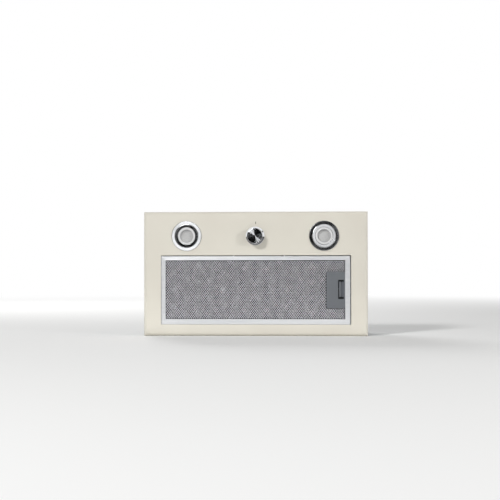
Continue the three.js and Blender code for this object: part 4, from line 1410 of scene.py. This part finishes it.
# %% Gland and pin
def ring_of(pattern, name, count, centre, axis="Y"):
    """Copies of a pattern that stands at the origin, set round an axis through a centre and joined."""
    turns = [Matrix.Rotation(2 * math.pi * i / count, 4, axis) for i in range(count)]
    twins = [copied(pattern, name, Matrix.Translation(centre) @ turn) for turn in turns]
    bpy.data.objects.remove(pattern)
    return joined(*twins)


GLAND = at(GLAND_X, 165.2, OUTLET_Z)
gland = turned("gland", GLAND, [
    (5, -8), (8.6, -8), (9, -7.6), (9, 0.3), (13.6, 0.3), (14, 0.7), (14, 5.2), (13.4, 6), (11.2, 6.4),
    (10.9, 7), (10.9, 12.2), (10, 14.2), (8.4, 15), (5.6, 15), (5, 14.4)], facets=64)
flutes = ring_of(block("gland_flute", (-0.5 * MM, 6.6 * MM, 10.4 * MM), (0.5 * MM, 12.6 * MM, 11.7 * MM)),
                 "gland_flutes", 20, GLAND)
gland = joined(gland, soften(flutes, 0.3 * MM, steps=1))
dress(gland, "hood", "black_plastic", black_plastic, "cable_gland")
dress(refined("cable_gland_nut", "gland_nut"), "hood", "black_plastic", black_plastic, "cable_gland_nut")
dress(refined("flap_pin", "flap_hinge_pin", 0.3 * MM), "hood", "steel", steel, "flap_pin")

# %% [markdown]
# ## Blower
#
# The wheel is a drum of thin forward-curved blades between two rings, driven by a disc in its middle. A
# blade is drawn as one bent strip and copied round the axis. The scroll keeps its moulded halves, with a
# rib round each inlet and screwed bosses along the split.

# %% Wheel
wheel_low, wheel_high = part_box("impeller")
AXLE = middle_of("impeller")
HALF = (wheel_high.x - wheel_low.x) / 2 - 0.6 * MM
BLADES, BLADE_START, BLADE_FLAT = 36, 45.2, 2.4
BLADE_BENDS = [(2.8, 0.7), (2.4, 1.3), (1.8, 1.7), (0.8, 1.3)]
y = BLADE_START + BLADE_FLAT
blade = flat_sheet("blade", (-HALF, BLADE_START * MM, 0), (HALF, y * MM, 0))
for rise, lift in BLADE_BENDS:
    flange(blade, lambda place, run: abs(place.y - y * MM) < SAME and abs(run.x) > ALONG,
           Vector((0, rise * MM, lift * MM)))
    y += rise
thicken(blade, 0.8 * MM, 0)
blade_drum = ring_of(blade, "wheel", BLADES, AXLE, axis="X")
rims = [turned("rim", AXLE, [
    (47.5, side * 44.8), (47.5, side * 45.6), (47.9, side * 46), (55.6, side * 46), (56, side * 45.6),
    (56, side * 42.8), (55.3, side * 42.8), (55.1, side * 44.8)], axis="X") for side in (-1, 1)]
web = turned("web", AXLE, [
    (7.5, 1.6), (16, 1.6), (18, 0.8), (54.6, 0.8), (54.9, 0.5), (54.9, -0.5), (54.6, -0.8), (18, -0.8),
    (16, -1.6), (7.5, -1.6)], axis="X")
dress(joined(blade_drum, *rims, web), "impeller", "grey_plastic", grey_plastic, "impeller")

# %% Scroll halves
SHAFT_LINE = Vector((0, AXLE.y, AXLE.z))
for side, name in ((-1, "left"), (1, "right")):
    shell = refined(f"scroll_shell_{name}", f"scroll_{name}", 0.4 * MM, angle=50)
    inlet_rib = turned("inlet_rib", SHAFT_LINE, [
        (59.6, side * 51.5), (59.6, side * 54.3), (59.9, side * 54.6), (61.1, side * 54.6),
        (61.4, side * 54.3), (61.4, side * 51.5)], axis="X")
    rib = block("rib", (-1.4 * MM + side * 52.9 * MM, 62 * MM, -0.7 * MM),
                (1.4 * MM + side * 52.9 * MM, 64.5 * MM, 0.7 * MM))
    ribs = ring_of(rib, "ribs", 12, SHAFT_LINE, axis="X")
    dress(joined(shell, inlet_rib, ribs), "hood", "black_plastic", black_plastic, f"scroll_shell_{name}")

# %% [markdown]
# The two halves are screwed together through five bosses just outside the spiral. The spiral's reach grows
# evenly with its angle, so each boss is placed by its angle alone.

# %% Scroll bosses
SCROLL_START, SCROLL_END, SPIRAL_FROM, SPIRAL_TO = 60.5, 81.0, -22.0, 270.0
BOSS_OUTSIDE = 5.5
bosses, boss_screws = [], []
for degrees in (40, 95, 150, 205, 250):
    share = (degrees - SPIRAL_FROM) / (SPIRAL_TO - SPIRAL_FROM)
    radius = SCROLL_START + (SCROLL_END - SCROLL_START) * share + BOSS_OUTSIDE
    spot = Vector((0, AXLE.y + radius * MM * math.cos(math.radians(degrees)),
                   AXLE.z - radius * MM * math.sin(math.radians(degrees))))
    bosses.append(turned("casing_bosses", spot, [
        (0, -9), (3.6, -9), (4, -8.6), (4, -0.4), (3.6, 0), (4, 0.4), (4, 8.6), (3.6, 9), (0, 9)],
        facets=24, axis="X"))
    boss_screws.append(set_in(pan_screw, "casing_screws", spot + Vector((-9 * MM, 0, 0)), (-1, 0, 0)))
dress(joined(*bosses), "hood", "black_plastic", black_plastic)
dress(joined(*boss_screws), "hood", "steel", steel)

# %% [markdown]
# ## Motor
#
# The motor hangs on a ring with three feet. Its two cups are pressed steel with slots for cooling air,
# and four long bolts, whose heads show on the rear cup, hold them together over the windings. Each cup is
# turned with its wall in the outline, so that the seat of its bearing is part of the same sheet.

# %% Motor cups
for name, inwards in (("front", -1), ("rear", 1)):
    low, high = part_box(f"motor_shell_{name}")
    centre = Vector((high.x if inwards < 0 else low.x, AXLE.y, AXLE.z))
    cup = turned(f"motor_cup_{name}", centre, [
        (reach, depth * inwards) for reach, depth in (
            (5, 0), (36.5, 0), (38.8, 0.8), (40, 2.8), (40, 30), (38.5, 30), (38.5, 2.8), (37, 1.5),
            (10.3, 1.5), (10.3, 8.5), (8.3, 8.5), (8.3, 1.5), (5, 1.5))], axis="X")
    near, far = sorted((inwards * 12 * MM, inwards * 26 * MM))
    slot = round_block("slot", (near, -2.2 * MM, 36 * MM), (far, 2.2 * MM, 44 * MM), 2.1 * MM, axis=2)
    carve(cup, ring_of(slot, "slots", 12, centre, axis="X"))
    bolts = []
    for degrees in (45, 135, 225, 315) if name == "rear" else ():
        spot = centre + Matrix.Rotation(math.radians(degrees), 3, "X") @ Vector((0, 0, 34 * MM))
        bolts.append(set_in(pan_screw, "bolt", spot, (-inwards, 0, 0)))
    dress(joined(cup, *bolts), "hood", "galvanised", galvanised, f"motor_shell_{name}")

# %% [markdown]
# The other parts inside are seen only with the filter open or through the outlet, if at all. They keep the
# model's shapes, with broken edges.

# %% Other parts inside
REFINED = [
    ("impeller_hub", "wheel_hub", "impeller", "steel", steel),
    ("motor_shaft", "shaft", "impeller", "steel", steel),
    ("motor_rotor", "rotor", "impeller", "steel", steel),
    ("motor_stator", "windings", "hood", "copper", copper),
    ("motor_bearing_front", "bearing_front", "hood", "steel", steel),
    ("motor_bearing_rear", "bearing_rear", "hood", "steel", steel),
    ("motor_bracket", "motor_feet", "hood", "galvanised", galvanised),
    ("capacitor_clip", "capacitor_band", "hood", "galvanised", galvanised),
    ("switch_body", "switch_case", "hood", "black_plastic", black_plastic),
    ("switch_nut", "bush_nut", "hood", "steel", steel),
    ("switch_spindle", "spindle", "selector", "steel", steel),
    ("filter_tab_lower", "tab_lower", "filter", "aluminium", aluminium),
    ("filter_tab_upper", "tab_upper", "filter", "aluminium", aluminium),
]
for node_name, name, body, slot_name, finish in REFINED:
    dress(refined(node_name, name), body, slot_name, finish, node_name)

# %% [markdown]
# ## Electrics
#
# The run capacitor is a turned can with a rolled rim and two terminals. The terminal box has a screwed lid
# with a bare recess, and the lamp driver is a moulded case with grooves that give it more surface.

# %% Capacitor
middle = middle_of("capacitor")
can = turned("capacitor_can", middle, [
    (0, -30), (14.6, -30), (15.6, -29.6), (16, -28.6), (16, 28.6), (15.6, 29.6), (14.6, 30),
    (13.6, 29.2), (0, 29.2)], facets=64, axis="X")
terminals = [block("terminal", middle + Vector((28.5 * MM, y * MM - 0.4 * MM, -3 * MM)),
                   middle + Vector((37 * MM, y * MM + 0.4 * MM, 3 * MM))) for y in (-5, 5)]
dress(can, "hood", "white_plastic", white_plastic, "capacitor")
dress(soften(joined(*terminals), 0.15 * MM, steps=1), "hood", "steel", steel)

# %% Terminal box
terminal_case = refined("terminal_box", "terminal_case", 0.8 * MM, angle=60)
dress(terminal_case, "hood", "grey_plastic", grey_plastic, "terminal_box")
low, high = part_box("terminal_box_lid")
lid = round_block("terminal_lid", low, high, 2 * MM)
recess = round_block("recess", low + Vector((8 * MM, -MM, 14 * MM)),
                     (high.x - 8 * MM, low.y + 0.7 * MM, high.z - 14 * MM), 3 * MM)
carve(lid, recess)
soften(lid, 0.3 * MM, angle=50)
dress(lid, "hood", "grey_plastic", grey_plastic, "terminal_box_lid")
lid_screws = [set_in(pan_screw, "lid_screws", Vector((x, low.y, z)), (0, -1, 0))
              for x in (low.x + 8 * MM, high.x - 8 * MM) for z in (low.z + 7 * MM, high.z - 7 * MM)]
dress(joined(*lid_screws), "hood", "steel", steel)

# %% Lamp driver
low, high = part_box("lamp_driver")
driver = round_block("driver_case", low, high, 3 * MM)
grooves = [round_block("groove", (low.x - MM, low.y - MM, low.z + (9 + 8 * i) * MM),
                       (high.x + MM, low.y + 0.8 * MM, low.z + (11 + 8 * i) * MM), 0.4 * MM, axis=0)
           for i in range(5)]
carve(driver, *grooves)
soften(driver, 0.4 * MM, angle=50)
dress(driver, "hood", "white_plastic", white_plastic, "lamp_driver")

# %% [markdown]
# ## The pattern screw
#
# The dressed hood has to keep the size of its frame. The screw that all the others were copied from is
# removed.

# %% Removing the pattern screw
bpy.data.objects.remove(pan_screw)
